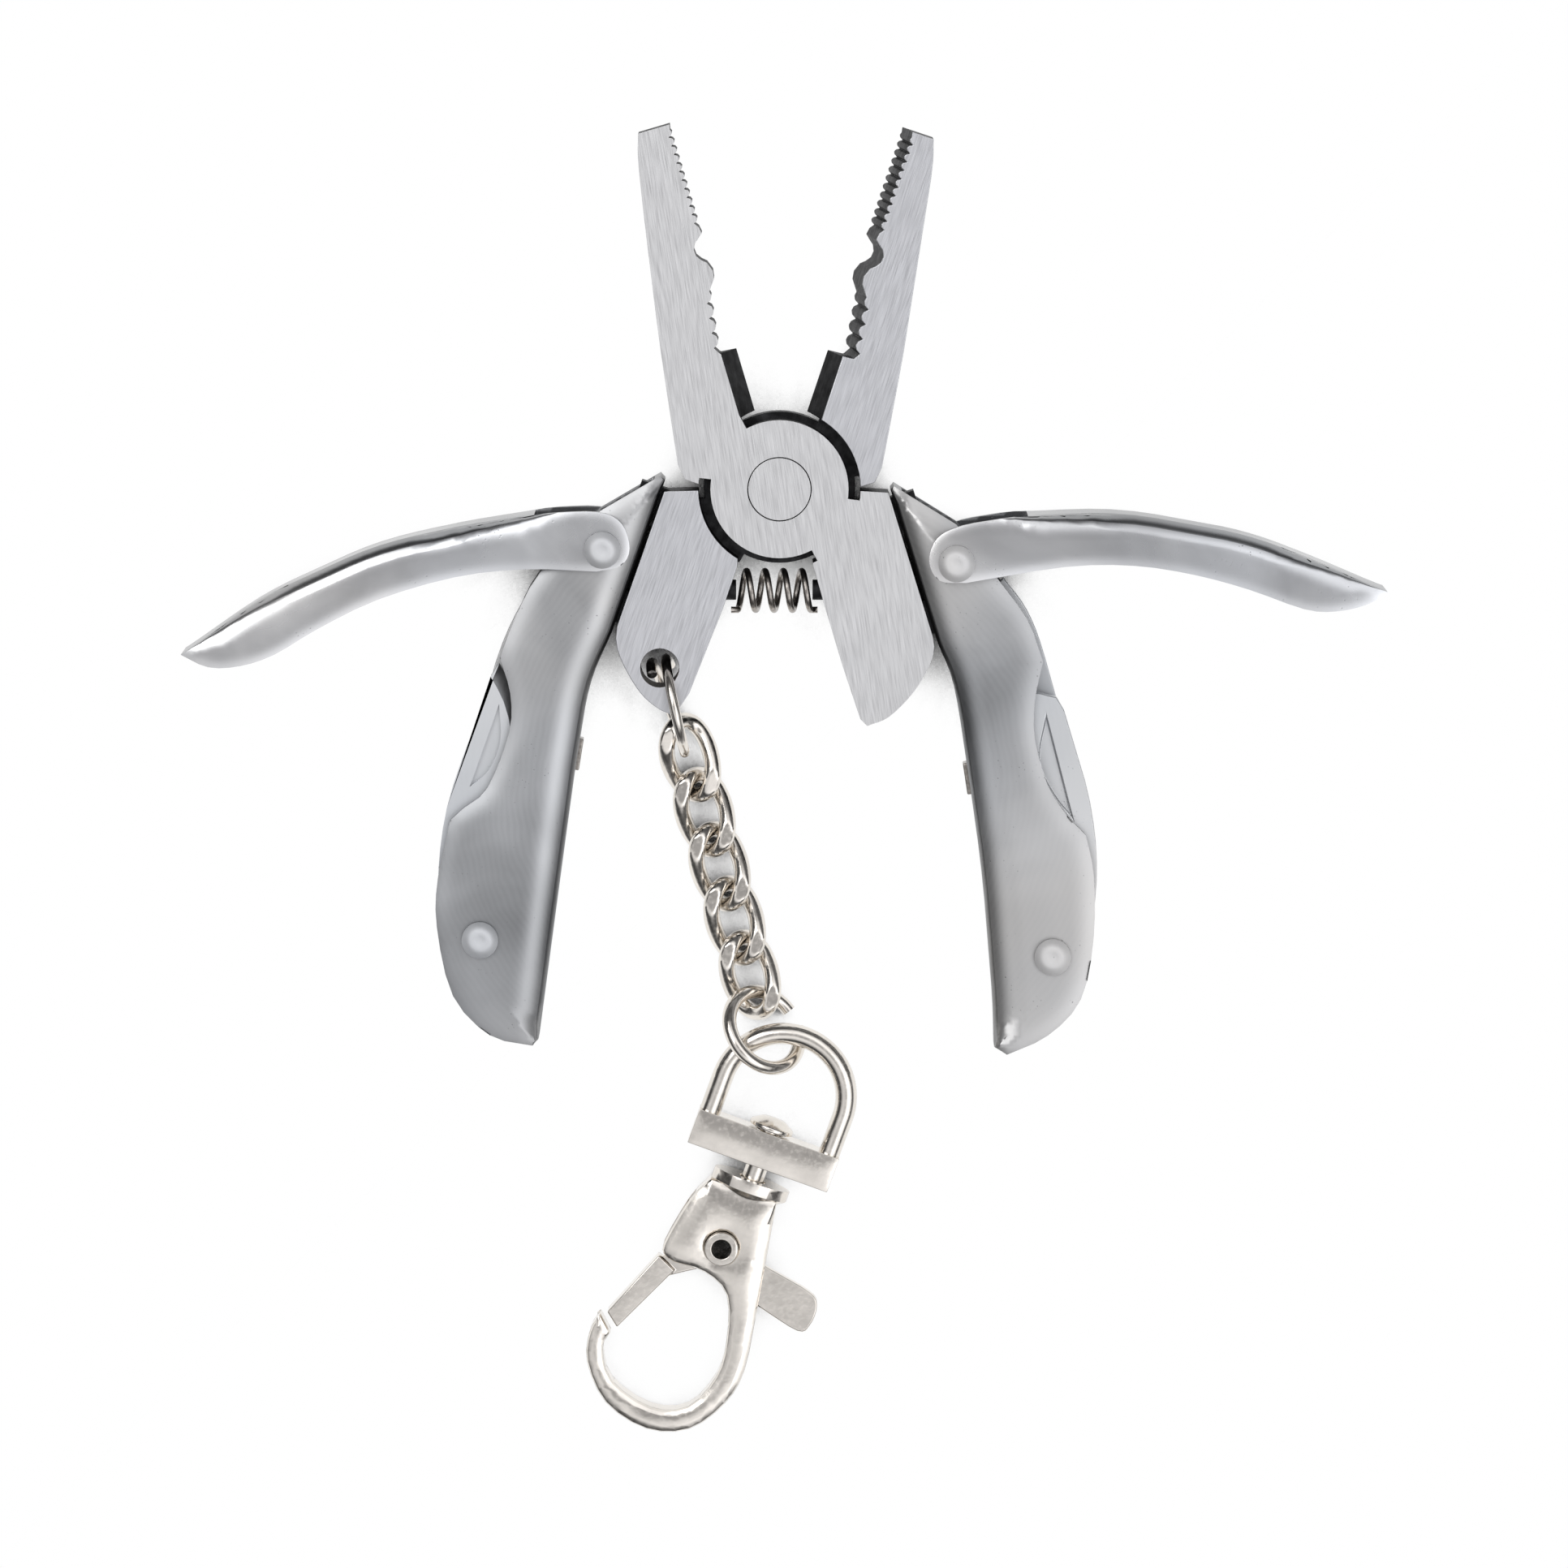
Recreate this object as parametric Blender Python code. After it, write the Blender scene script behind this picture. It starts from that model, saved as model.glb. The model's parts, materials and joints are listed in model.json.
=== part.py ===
"""Folding pocket pliers with a tool handle on each side, a chain and a swivel clasp, lying flat.

Sizes are in millimetres, seen from above: X to the right, Y towards the jaw tips, Z up from the table.
"""
import math

import bmesh
import bpy
from mathutils import Matrix, Vector

MM = 0.001

PLAN_SHIFT = Vector((0, -0.348, 0))   # centres the whole outline over the origin

# Clearances
FIT = 0.25            # between pieces that touch or slide
PIVOT_FIT = 0.08      # round the flush pivot rivet
LAP_GAP = 0.2         # between the two halves of the lap joint
WIRE_FIT = 0.3        # between linked wires

# Sheet and plate
PLATE = 5.0           # thickness of the plier halves
HANDLE_WIDTH = 6.4    # outer width of a handle channel, across its cheeks
HANDLE_SHEET = 0.9
HANDLE_BEND = 1.2     # outer radius along the spine
COVER_SHEET = 0.8
COVER_BEND = 1.5      # outer radius along the cover's back
TOOL_SHEET = 1.6
WASHER_SHEET = 0.4
LEAF_SHEET = 0.5

# Rivets
SHANK_R = 1.1
HEAD_R = 1.6
HEAD_HEIGHT = 0.7
SLEEVE_R = 2.2
WASHER_R = 2.6
TOOL_EYE_R = 3.0
PIVOT_R = 2.74

# Levels, from the table up
COVER_HALF = HANDLE_WIDTH / 2 + FIT + COVER_SHEET
MID = COVER_HALF + FIT + HEAD_HEIGHT
HANDLE_HALF = HANDLE_WIDTH / 2
CHANNEL_HALF = HANDLE_HALF - HANDLE_SHEET
PLATE_HALF = PLATE / 2
TOOL_LEVEL = CHANNEL_HALF - FIT - TOOL_SHEET / 2

# Pliers
PIVOT = Vector((-0.4, 26.5))
BOSS_R = 6.05
BOSS_CLEARANCE = 1.05
BOSS_SKIRT = 0.6      # the rear boss shows this far round the front one
LEFT_OPEN = 16.5      # degrees from the closing line at rest
RIGHT_OPEN = 18.6
JAW_LENGTH = 33.3     # pivot to tip
TIP_WIDTH = 2.8
JAW_FACE = 0.15       # tooth crests to the closing line
RIGHT_DRAFT = 0.9     # the right jaw's gripping face leans back towards its front
FINE_TEETH = 11
FINE_HEIGHT = 0.4
COARSE_TEETH = 4
COARSE_HEIGHT = 0.5
HOLLOW_R = 1.1
JAW_BACK = [(-3.9, 29.9), (-6.1, 17.2), (-7.3, 9.0), (-7.9, 4.6)]
JAW_SHOULDER = [(-7.7, 3.2), (-6.0, 2.0), (0, 0), (-1.0, 5.7)]
CUTTER_BEVEL = 1.4
KEY_HOLE = Vector((-10.9, 10.8))
KEY_HOLE_R = 1.7
LUG_LENGTH = 3.0      # staking lugs that hold each handle on its tang
LUG_WIDTH = 2.4
LUG_REACH = 1.0       # past the inside of the spine
LUG_PLACES = (0.17, 0.84)

# Jaw spring
SPRING_LEFT = Vector((-4.9, 17.5))
SPRING_RIGHT = Vector((3.2, 17.5))
SPRING_R = 1.75       # to the middle of the wire
SPRING_WIRE = 0.57
SPRING_TURNS = 4
CURL_POINTS = 9
SPRING_PEG_R = 0.9
SPRING_PEG = 0.7

# Chain
LOOP_R = 4.2
LOOP_WIRE = 0.9
LOOP_TURNS = 1.2
LOOP_SAG = 0.5        # the loop hangs this far below the tang's middle
LOOP_OVERLAP = 1.35   # sideways step of the loop in one turn
LINK_LENGTH = 8.3
LINK_WIDTH = 5.3
LINK_WIRE = 1.5
LINK_TWIST = 0.9
LINK_COUNT = 5
LINK_LEVEL = 1.75
CHAIN_START = Vector((-8.37, 2.3))
FIRST_LINK_RISE = 7.0   # degrees, where the first link climbs to the loop
CHAIN_LEAN = 15.5     # degrees from straight down
JUMP_R = 3.65
JUMP_WIRE = 1.25
JUMP_TILT = 40.0
JUMP_LEAN = 15.0
JUMP_RISE = 24.0
JUMP_SLACK = 0.2
JUMP_GAP = 26.0       # degrees left open
RING_POINTS = 28

# Clasp, in its own frame: Y along the clasp, towards the chain
CLASP_AT = Vector((-1.8, -32.25))
CLASP_LEAN = 20.0
CLASP_RISE = 3.0
D_RING_R = 5.6
D_RING_WIRE = 1.9
D_RING_SHOULDER = 5.0
BAR_HEIGHT = 3.2
BAR_HALF = 1.4
PIN_R = 1.0
PIN_HEAD_R = 2.0
PIN_HEAD = 1.1
COLLAR_TOP = -2.9
COLLAR_HEIGHT = 1.0
COLLAR_R = 3.5
HOOK_HALF = 1.6
HOOK_ROUND = 0.45
HOOK_DROP = 27.0      # clasp frame to the foot of the hook
EYELET_AT = Vector((-0.5, -9.5))
EYELET_R = 1.5
EYELET_BORE = 0.85
EYELET_SHANK = 1.2
EYELET_FLANGE = 0.35
GATE_HALF = 0.5
GATE_ARM_HALF = 1.0
GATE_EYE_R = 2.2
GATE_SLOT_TOP = -5.6
GATE_SPRING_SHEET = 0.3
GATE_SPRING_ENDS = (-3.6, 2.2)
GATE_LEVER_ROOT = [(0.3, 1.5), (0.2, -2.0)]   # from the eyelet
GATE_ARM_ROOT = [(-0.4, 1.2), (0.6, -1.4)]

ROUND = 32            # segments of a turned piece
SMALL_ROUND = 20

# Handle outlines: the spine from its foot to its tip, then the open side back to the foot
LEFT_SPINE = [(-21.6, -22.0), (-20.6, -14.6), (-19.4, -5.6), (-18.0, 4.1), (-16.9, 9.6), (-15.1, 13.9)]
LEFT_SPINE_TOP = (-10.4, 27.3)
LEFT_OPEN_SIDE = [
    [(-10.8, 27.7), (-16.1, 24.6)],
    [(-16.1, 24.6), (-21.3, 19.3), (-23.6, 15.1), (-24.9, 11.7)],
    [(-24.9, 11.7), (-24.0, 8.6), (-24.1, 5.2), (-26.0, 0.3), (-28.1, -1.5), (-29.3, -2.6)],
    [(-29.3, -2.6), (-30.4, -7.7), (-30.5, -12.0), (-29.1, -18.1), (-25.8, -21.6), (-22.1, -22.5)],
]
LEFT_COVER_PIN = Vector((-15.9, 21.3))
LEFT_TOOL_PIN = Vector((-26.7, -13.1))
RIGHT_SPINE = [(18.5, -22.7), (18.3, -17.7), (17.4, -7.4), (16.1, 2.0), (14.9, 9.2), (13.5, 12.9)]
RIGHT_SPINE_TOP = (9.3, 26.5)
RIGHT_OPEN_SIDE = [
    [(9.6, 26.8), (15.1, 23.4)],
    [(15.1, 23.4), (18.5, 18.9), (21.3, 15.1), (22.7, 11.4)],
    [(22.7, 11.4), (22.0, 8.0), (22.0, 4.6), (23.1, 0.6), (24.8, -2.1), (26.5, -3.9)],
    [(26.5, -3.9), (27.2, -7.4), (27.2, -13.0), (26.1, -18.4), (23.2, -21.6), (19.6, -23.3)],
]
RIGHT_COVER_PIN = Vector((15.1, 20.1))
RIGHT_TOOL_PIN = Vector((23.6, -14.6))
LEAF_REACH = (0.1, 0.65)      # share of the spine curve that each leaf spring lies along
LEAF_STEPS = 11
STAKE_LENGTH = 2.8
STAKE_PROUD = 0.35
STAKE_PLACE = 0.575           # share of the spine curve, as above

# Covers: the bent back from the rivet end to the tip, then the open edge back to the rivet end
LEFT_COVER_BACK = [(-21.0, 24.5), (-28.8, 23.2), (-35.4, 21.6), (-40.9, 19.3), (-46.1, 16.7), (-52.8, 12.1)]
LEFT_COVER_EDGE = [(-52.8, 12.1), (-50.4, 11.0), (-47.6, 11.1), (-44.6, 12.1), (-40.9, 14.3),
                   (-35.6, 16.9), (-28.8, 18.9), (-22.6, 19.6), (-16.4, 19.4)]
LEFT_COVER_END = [(-16.4, 19.4), (-14.3, 19.9), (-13.5, 21.4), (-14.2, 23.6), (-16.3, 24.6), (-21.0, 24.5)]
RIGHT_COVER_BACK = [(20.2, 24.2), (28.9, 24.4), (35.9, 23.4), (41.0, 22.3), (46.2, 20.4), (52.8, 17.6)]
RIGHT_COVER_EDGE = [(52.8, 17.6), (51.0, 16.5), (48.3, 15.9), (45.5, 16.1), (40.7, 17.8),
                    (35.9, 19.1), (30.6, 19.9), (24.6, 19.8), (15.9, 18.4)]
RIGHT_COVER_END = [(15.9, 18.4), (13.6, 18.6), (12.7, 20.3), (13.4, 22.3), (15.6, 23.4), (20.2, 24.2)]

# Tangs of the plier halves, apart from the edge that follows the handle
LEFT_TANG_TOP = [(-10.2, 26.3), (-7.9, 26.4)]
LEFT_TANG_INNER = [(-4.0, 21.0), (-4.1, 19.7), (-5.4, 15.9), (-8.3, 8.6)]
LEFT_TANG_FOOT = [(-9.6, 6.6), (-11.0, 7.2), (-12.6, 8.6), (-14.0, 10.9), (-14.8, 12.9)]
RIGHT_TANG_TOP = [(8.9, 26.2), (5.7, 26.4)]
RIGHT_TANG_INNER = [(2.2, 21.1), (2.6, 19.7), (3.4, 16.8), (5.1, 11.1), (6.7, 6.3)]
RIGHT_TANG_FOOT = [(7.3, 5.7), (9.2, 6.5), (11.3, 8.6), (12.7, 10.9), (13.2, 12.4)]

# Tools: the edge that shows, from the rivet to the tip, then the edge in the channel back to the rivet
KNIFE_BACK = [(-29.6, -13.6), (-30.4, -8.5), (-29.6, -1.5), (-27.0, 6.1), (-25.0, 11.1)]
KNIFE_EDGE = [(-25.0, 11.1), (-22.9, 6.5), (-22.3, -1.0), (-22.9, -8.4)]
KNIFE_GRIND = 1.3
KNIFE_NICK = [[(-25.0, 7.6), (-27.6, 0.3)], [(-27.6, 0.3), (-25.9, 1.8), (-24.9, 4.4), (-25.0, 7.6)]]
FILE_BACK = [(-29.4, -14.2), (-29.9, -7.5), (-27.4, 2.5), (-25.4, 11.0), (-23.0, 16.4), (-20.6, 19.2)]
FILE_EDGE = [(-19.7, 18.0), (-21.0, 12.0), (-22.6, 4.0), (-23.1, -8.8)]
OPENER_BACK = [(26.5, -15.2), (27.5, -8.0), (26.9, -1.1), (24.6, 7.0)]
OPENER_EDGE = [(23.9, 8.2), (21.3, 8.1), (20.2, 2.0), (20.0, -9.8)]
OPENER_NICK = [[(23.0, 6.5), (25.3, -2.4)], [(25.3, -2.4), (23.6, -0.2), (22.4, 2.6), (23.0, 6.5)]]
DRIVER_BACK = [(26.3, -15.6), (26.8, -8.0), (25.4, 2.0), (23.0, 11.4), (21.4, 15.6), (19.3, 18.5)]
DRIVER_EDGE = [(18.2, 17.4), (19.4, 11.5), (20.1, 4.0), (20.3, -10.2)]
NICK_DEPTH = 0.5

# Hook outline in the clasp frame, from its shoulder round the outside to the tip, then back inside
HOOK_RIGHT = [(2.7, -3.9), (3.7, -10.0), (4.4, -13.8), (5.2, -19.2), (4.6, -22.6), (2.4, -25.9), (-1.2, -27.2),
              (-5.4, -26.2), (-8.2, -23.3), (-8.9, -20.6), (-8.55, -18.8)]
HOOK_INSIDE = [(-7.15, -20.1), (-7.3, -21.6), (-5.6, -24.1), (-1.5, -25.2), (1.6, -24.0), (3.0, -20.6),
               (2.8, -17.4), (1.4, -13.4), (-1.2, -12.1), (-3.9, -12.2)]
HOOK_LEFT = [(-3.9, -12.2), (-4.9, -11.9), (-5.4, -10.9), (-4.6, -6.4), (-3.5, -3.9)]
GATE_ARM = [(-5.5, -12.1), (-8.05, -18.45), (-6.75, -19.5), (-3.7, -12.9)]
GATE_LEVER = [(3.9, -9.9), (8.2, -10.7), (9.3, -11.7), (9.3, -13.5), (8.4, -14.4), (4.4, -13.5)]


def clear_scene():
    for old in list(bpy.data.objects):
        bpy.data.objects.remove(old)


def metal(name, colour, roughness):
    material = bpy.data.materials.new(name)
    material.use_nodes = True
    shader = material.node_tree.nodes["Principled BSDF"]
    shader.inputs["Base Color"].default_value = (*colour, 1)
    shader.inputs["Metallic"].default_value = 1
    shader.inputs["Roughness"].default_value = roughness
    return material


def spline(points, steps=4):
    """Points of a smooth curve through the given ones. Two points give a straight run."""
    points = [Vector(p) for p in points]
    if len(points) == 2:
        return points
    ends = [2 * points[0] - points[1]] + points + [2 * points[-1] - points[-2]]
    curve = []
    for a, b, c, d in zip(ends, ends[1:], ends[2:], ends[3:]):
        for k in range(steps):
            t = k / steps
            curve.append(b + 0.5 * t * ((c - a) + t * ((2 * a - 5 * b + 4 * c - d) + t * (3 * b - a - 3 * c + d))))
    return curve + [points[-1]]


def outline(*runs, steps=4):
    """A closed outline made of smooth runs that meet at corners."""
    points = []
    for run in runs:
        for point in spline(run, steps):
            if not points or (point - points[-1]).length > 1e-3:
                points.append(point)
    if (points[0] - points[-1]).length < 1e-3:
        points.pop()
    return points


def side_step(points, distance):
    """A run of points moved sideways, to the left of its direction when distance is positive."""
    moved = []
    for i, point in enumerate(points):
        along = (points[min(i + 1, len(points) - 1)] - points[max(i - 1, 0)]).normalized()
        moved.append(point + Vector((-along.y, along.x)) * distance)
    return moved


def spot(points, share):
    """The point at a share of the way along a line, counted in its points."""
    place = share * (len(points) - 1)
    k = min(int(place), len(points) - 2)
    return points[k].lerp(points[k + 1], place - k)


def turn(point, degrees, about=Vector((0, 0))):
    return about + Matrix.Rotation(math.radians(degrees), 2) @ (Vector(point) - about)


def circle(centre, radius, count):
    return [centre + radius * Vector((math.cos(a), math.sin(a)))
            for a in (2 * math.pi * k / count for k in range(count))]


def finished(bm, name):
    bmesh.ops.recalc_face_normals(bm, faces=bm.faces)
    mesh = bpy.data.meshes.new(name)
    bm.to_mesh(mesh)
    bm.free()
    return mesh


def loft(levels, name="loft"):
    """A solid through outlines of equal count, given as (level, points) from the lowest up."""
    bm = bmesh.new()
    rings = [[bm.verts.new((p[0] * MM, p[1] * MM, z * MM)) for p in points] for z, points in levels]
    for low, high in zip(rings, rings[1:]):
        for i in range(len(low)):
            j = (i + 1) % len(low)
            bm.faces.new((low[i], low[j], high[j], high[i]))
    bm.faces.new(rings[0])
    bm.faces.new(rings[-1])
    return finished(bm, name)


def prism(points, low, high):
    return loft([(low, points), (high, points)])


def turned(profile, segments=ROUND, closed=False):
    """A solid turned about Z from (radius, level) points. A closed profile gives a ring."""
    bm = bmesh.new()
    rings = []
    for radius, level in profile:
        if radius == 0:
            rings.append([bm.verts.new((0, 0, level * MM))])
        else:
            rings.append([bm.verts.new((p.x * MM, p.y * MM, level * MM))
                          for p in circle(Vector((0, 0)), radius, segments)])
    pairs = list(zip(rings, rings[1:]))
    if closed:
        pairs.append((rings[-1], rings[0]))
    for a, b in pairs:
        for i in range(segments):
            j = (i + 1) % segments
            corners = [a[i % len(a)], a[j % len(a)], b[j % len(b)], b[i % len(b)]]
            bm.faces.new(list(dict.fromkeys(corners)))
    return finished(bm, "turned")


def piece(name, mesh, material, origin=(0, 0, 0), parent=None, smooth=False):
    """An object whose origin is moved to the given point, with its mesh left in place."""
    origin = Vector(origin) * MM
    mesh.transform(Matrix.Translation(-origin))
    mesh.materials.append(material)
    if smooth:
        mesh.shade_smooth()
        mesh.set_sharp_from_angle(angle=math.radians(35))
    obj = bpy.data.objects.new(name, mesh)
    bpy.context.collection.objects.link(obj)
    obj.location = origin
    obj.parent = parent
    return obj


def cut(target, mesh, operation="DIFFERENCE", parent=None):
    """Takes a shape out of a piece, or adds it, with a hidden guide object."""
    guide = bpy.data.objects.new(f"{target.name}_guide", mesh)
    bpy.context.collection.objects.link(guide)
    guide.hide_render = True
    guide.display_type = "WIRE"
    guide.parent = parent
    boolean = target.modifiers.new("shape", "BOOLEAN")
    boolean.object = guide
    boolean.operation = operation
    boolean.solver = "EXACT"


def drill(target, at, radius, low, high, segments=ROUND, parent=None):
    cut(target, prism(circle(Vector(at), radius, segments), low, high), parent=parent)


def wire(name, points, radius, material, cyclic=False, resolution=2, parent=None, place=None):
    """A round wire along the given points."""
    curve = bpy.data.curves.new(name, "CURVE")
    curve.dimensions = "3D"
    curve.bevel_depth = radius * MM
    curve.bevel_resolution = resolution
    curve.use_fill_caps = not cyclic
    line = curve.splines.new("POLY")
    line.points.add(len(points) - 1)
    for slot, point in zip(line.points, points):
        slot.co = (*(Vector(point) * MM), 1)
    line.use_cyclic_u = cyclic
    curve.materials.append(material)
    obj = bpy.data.objects.new(name, curve)
    bpy.context.collection.objects.link(obj)
    obj.parent = parent
    if place:
        obj.matrix_world = place
    return obj


def box(centre, along, length, depth, low, high):
    """A block in plan: length runs along a direction, depth across it."""
    along = Vector(along).normalized() * length / 2
    across = Vector((-along.y, along.x)).normalized() * depth / 2
    corners = [centre - along - across, centre + along - across, centre + along + across, centre - along + across]
    return prism(corners, low, high)


def teeth(start, end, count, height):
    """Rounded teeth from start to end, with their crests on the line and their roots to its left."""
    start, end = Vector(start), Vector(end)
    step = (end - start) / count
    inward = Vector((-step.y, step.x)).normalized() * height
    points = []
    for k in range(count):
        for share, depth in ((0.0, 1.0), (0.22, 0.25), (0.5, 0.0), (0.78, 0.25)):
            points.append(start + step * (k + share) + inward * depth)
    return points


def jaw_outline(cutter, draft):
    """The left jaw as it lies when closed: the pivot is the origin and the closing line runs along Y."""
    face = -JAW_FACE
    outer = spline([(-TIP_WIDTH - 0.2, JAW_LENGTH)] + JAW_BACK)
    shoulder = [Vector(p) for p in JAW_SHOULDER]
    edge_top = Vector((-cutter, 12.8))
    edge_foot = Vector((-cutter, 6.8))
    grip = [Vector((-1.5 - JAW_FACE, 12.9))]
    grip += teeth((-1.5, 13.4), (-0.8, 18.6), COARSE_TEETH, COARSE_HEIGHT)
    grip += [Vector((face - 0.1, 19.3)), Vector((face, 20.0)), Vector((face - 0.3, 20.8))]
    hollow = Vector((face, 22.0))
    grip += [hollow + HOLLOW_R * Vector((-math.cos(a), math.sin(a)))
             for a in (math.radians(d) for d in (-50, -20, 10, 40, 65))]
    grip += [Vector((face, 23.4)), Vector((face - 0.1, 24.0))]
    grip += teeth((face, 24.4), (face, JAW_LENGTH - 0.3), FINE_TEETH, FINE_HEIGHT)
    grip.append(Vector((face, JAW_LENGTH)))
    lean = Vector((-draft, 0))
    return outer + shoulder + [edge_foot, edge_top] + [p + lean for p in grip]


def jaw_mesh(left):
    """A jaw with its cutting edge at half thickness, turned to where it rests."""
    levels = []
    drafts = (0.0, RIGHT_DRAFT / 2, RIGHT_DRAFT)
    for z, cutter, draft in zip((-PLATE_HALF, 0, PLATE_HALF), (1.0, 0.0, 1.0), drafts):
        points = jaw_outline(JAW_FACE + cutter * CUTTER_BEVEL, 0 if left else draft)
        if left:
            points = [PIVOT + turn(p, LEFT_OPEN) for p in points]
        else:
            points = [PIVOT + turn((-p.x, p.y), -RIGHT_OPEN) for p in points]
        levels.append((MID + z, points))
    return loft(levels)


def spine_line(side, shift=0.0):
    """The handle's spine from foot to tip, moved towards the tang by shift."""
    points = spline(side["spine"])
    top = Vector(side["spine_top"])
    points += [points[-1].lerp(top, 0.9), top]
    return side_step(points, -shift * side["hand"])


def straight_run(side, shift=0.0):
    """The two ends of the spine's straight upper stretch, beside the tang."""
    points = spine_line(side, shift)
    return points[-1].lerp(points[-2], 10), points[-1]


def tang_outline(side):
    """The tang, with its outer edge following the handle's straight upper spine."""
    edge = straight_run(side, FIT)
    foot = spline(side["tang_foot"])
    share = (Vector(side["tang_top"][0]).y - edge[0].y) / (edge[1].y - edge[0].y)
    corner = edge[0].lerp(edge[1], share)
    lower = edge[0].lerp(edge[1], 0.05)
    return foot[:-1] + [foot[-1].lerp(lower, 0.3), lower, corner, Vector(side["tang_top"][1]), PIVOT] + [
        Vector(p) for p in side["tang_inner"]]


def lug_boxes(side, clearance):
    """The two staking lugs on the tang's outer edge, or their slots when clearance is given."""
    low, high = straight_run(side)
    along = high - low
    outward = Vector((-along.y, along.x)).normalized() * side["hand"]
    reach = HANDLE_SHEET + LUG_REACH
    for share in LUG_PLACES:
        centre = low.lerp(high, share) + outward * (reach / 2 - 0.5)
        yield box(centre, along, LUG_LENGTH + 2 * clearance, reach + 1.0 + 2 * clearance,
                  MID - LUG_WIDTH / 2 - clearance, MID + LUG_WIDTH / 2 + clearance)


def plier_half(name, left_jaw, side, material):
    """A jaw, its half of the lap joint and the tang on the other side, as one piece."""
    half = piece(name, jaw_mesh(left_jaw), material, (*PIVOT, MID))
    front = left_jaw
    low = MID + LAP_GAP / 2 if front else MID - PLATE_HALF
    high = MID + PLATE_HALF if front else MID - LAP_GAP / 2
    other_low = MID - PLATE_HALF - 1 if front else MID - LAP_GAP / 2
    other_high = MID + LAP_GAP / 2 if front else MID + PLATE_HALF + 1
    cut(half, prism(tang_outline(side), MID - PLATE_HALF, MID + PLATE_HALF), "UNION")
    for lug in lug_boxes(side, 0):
        cut(half, lug, "UNION")
    cut(half, prism(circle(PIVOT, BOSS_R + BOSS_CLEARANCE, 2 * ROUND), MID - PLATE, MID + PLATE))
    boss_r = BOSS_R if front else BOSS_R + BOSS_SKIRT
    keep = prism(circle(PIVOT, boss_r, 2 * ROUND), low, high)
    cut(half, web(left_jaw, side, low, high), "UNION")
    cut(half, keep, "UNION")
    drill(half, PIVOT, PIVOT_R + PIVOT_FIT, MID - PLATE, MID + PLATE, 2 * ROUND)
    return half


def web(left_jaw, side, low, high):
    """The half-thickness sector that joins the boss to its own jaw and tang."""
    hand = 1 if left_jaw else -1
    reach = BOSS_R + BOSS_CLEARANCE + 0.4
    jaw_from, jaw_to = (90 + LEFT_OPEN + 12, 172) if left_jaw else (90 - RIGHT_OPEN - 12, 8)
    tang_from, tang_to = (-62, -8) if left_jaw else (-118, -172)
    points = [PIVOT.copy()]
    for start, end in ((jaw_from, jaw_to), (tang_from, tang_to)):
        for k in range(9):
            a = math.radians(start + (end - start) * k / 8)
            points.append(PIVOT + reach * Vector((math.cos(a), math.sin(a))))
        points.append(PIVOT + Vector((-0.2 * hand, 0.2)))
    return prism(points[:-1], low, high)


def handle(side, material):
    """A folded sheet channel with its spine along the tang and its open side outwards."""
    spine = spine_line(side)
    open_side = outline(*side["open_side"], steps=3)
    levels = []
    for share in (90, 45, 0):
        a = math.radians(share)
        inset = HANDLE_BEND * (1 - math.cos(a))
        level = HANDLE_HALF - HANDLE_BEND * (1 - math.sin(a))
        bent = spine_line(side, -inset)
        bent[0] = spine[0].lerp(bent[0], 0.25)
        bent[-1] = spine[-1].lerp(bent[-1], 0.25)
        levels.append((level, bent + open_side))
    rings = [(MID - z, points) for z, points in levels] + [(MID + z, points) for z, points in reversed(levels)]
    body = piece(f"{side['name']}_handle", loft(rings), material, (*side["cover_pin"], MID))
    inner = spine_line(side, -HANDLE_SHEET)
    start = inner[0] + (inner[0] - inner[1]).normalized() * PLATE
    end = inner[-1] + (inner[-1] - inner[-2]).normalized() * PLATE
    away = Vector((-side["hand"], 0)) * HANDLE_WIDTH * 4
    cavity = [start] + inner + [end, end + away, start + away]
    cut(body, prism(cavity, MID - CHANNEL_HALF, MID + CHANNEL_HALF))
    for pin in (side["cover_pin"], side["tool_pin"]):
        drill(body, pin, SHANK_R + FIT, MID - HANDLE_WIDTH, MID + HANDLE_WIDTH)
    for slot in lug_boxes(side, FIT):
        cut(body, slot)
    cut(body, stake_box(side, FIT))
    return body


def stake_place(side):
    spine = spline(side["spine"], 8)
    at = spot(spine, STAKE_PLACE)
    return at, spot(spine, STAKE_PLACE + 1 / (len(spine) - 1)) - at


def stake_box(side, clearance):
    """The leaf spring's stake through the spine, or its slot when clearance is given."""
    at, along = stake_place(side)
    outward = Vector((along.y, -along.x)).normalized() * side["hand"]
    depth = HANDLE_SHEET + FIT + LEAF_SHEET / 2 + STAKE_PROUD
    centre = at + outward * (STAKE_PROUD - depth / 2)
    return box(centre, along, STAKE_LENGTH + 2 * clearance, depth + 2 * clearance,
               MID - CHANNEL_HALF / 2 - clearance, MID + CHANNEL_HALF / 2 + clearance)


def leaf_spring(side, material):
    """The flat spring along the inside of the spine, held by its stake."""
    spine = spline(side["spine"], 8)
    first, last = LEAF_REACH
    run = [spot(spine, first + (last - first) * k / LEAF_STEPS) for k in range(LEAF_STEPS + 1)]
    near = side_step(run, (HANDLE_SHEET + FIT) * side["hand"])
    far = side_step(run, (HANDLE_SHEET + FIT + LEAF_SHEET) * side["hand"])
    half = CHANNEL_HALF - FIT
    leaf = piece(f"{side['name']}_leaf_spring", prism(near + far[::-1], MID - half, MID + half), material)
    cut(leaf, stake_box(side, 0), "UNION")


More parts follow.
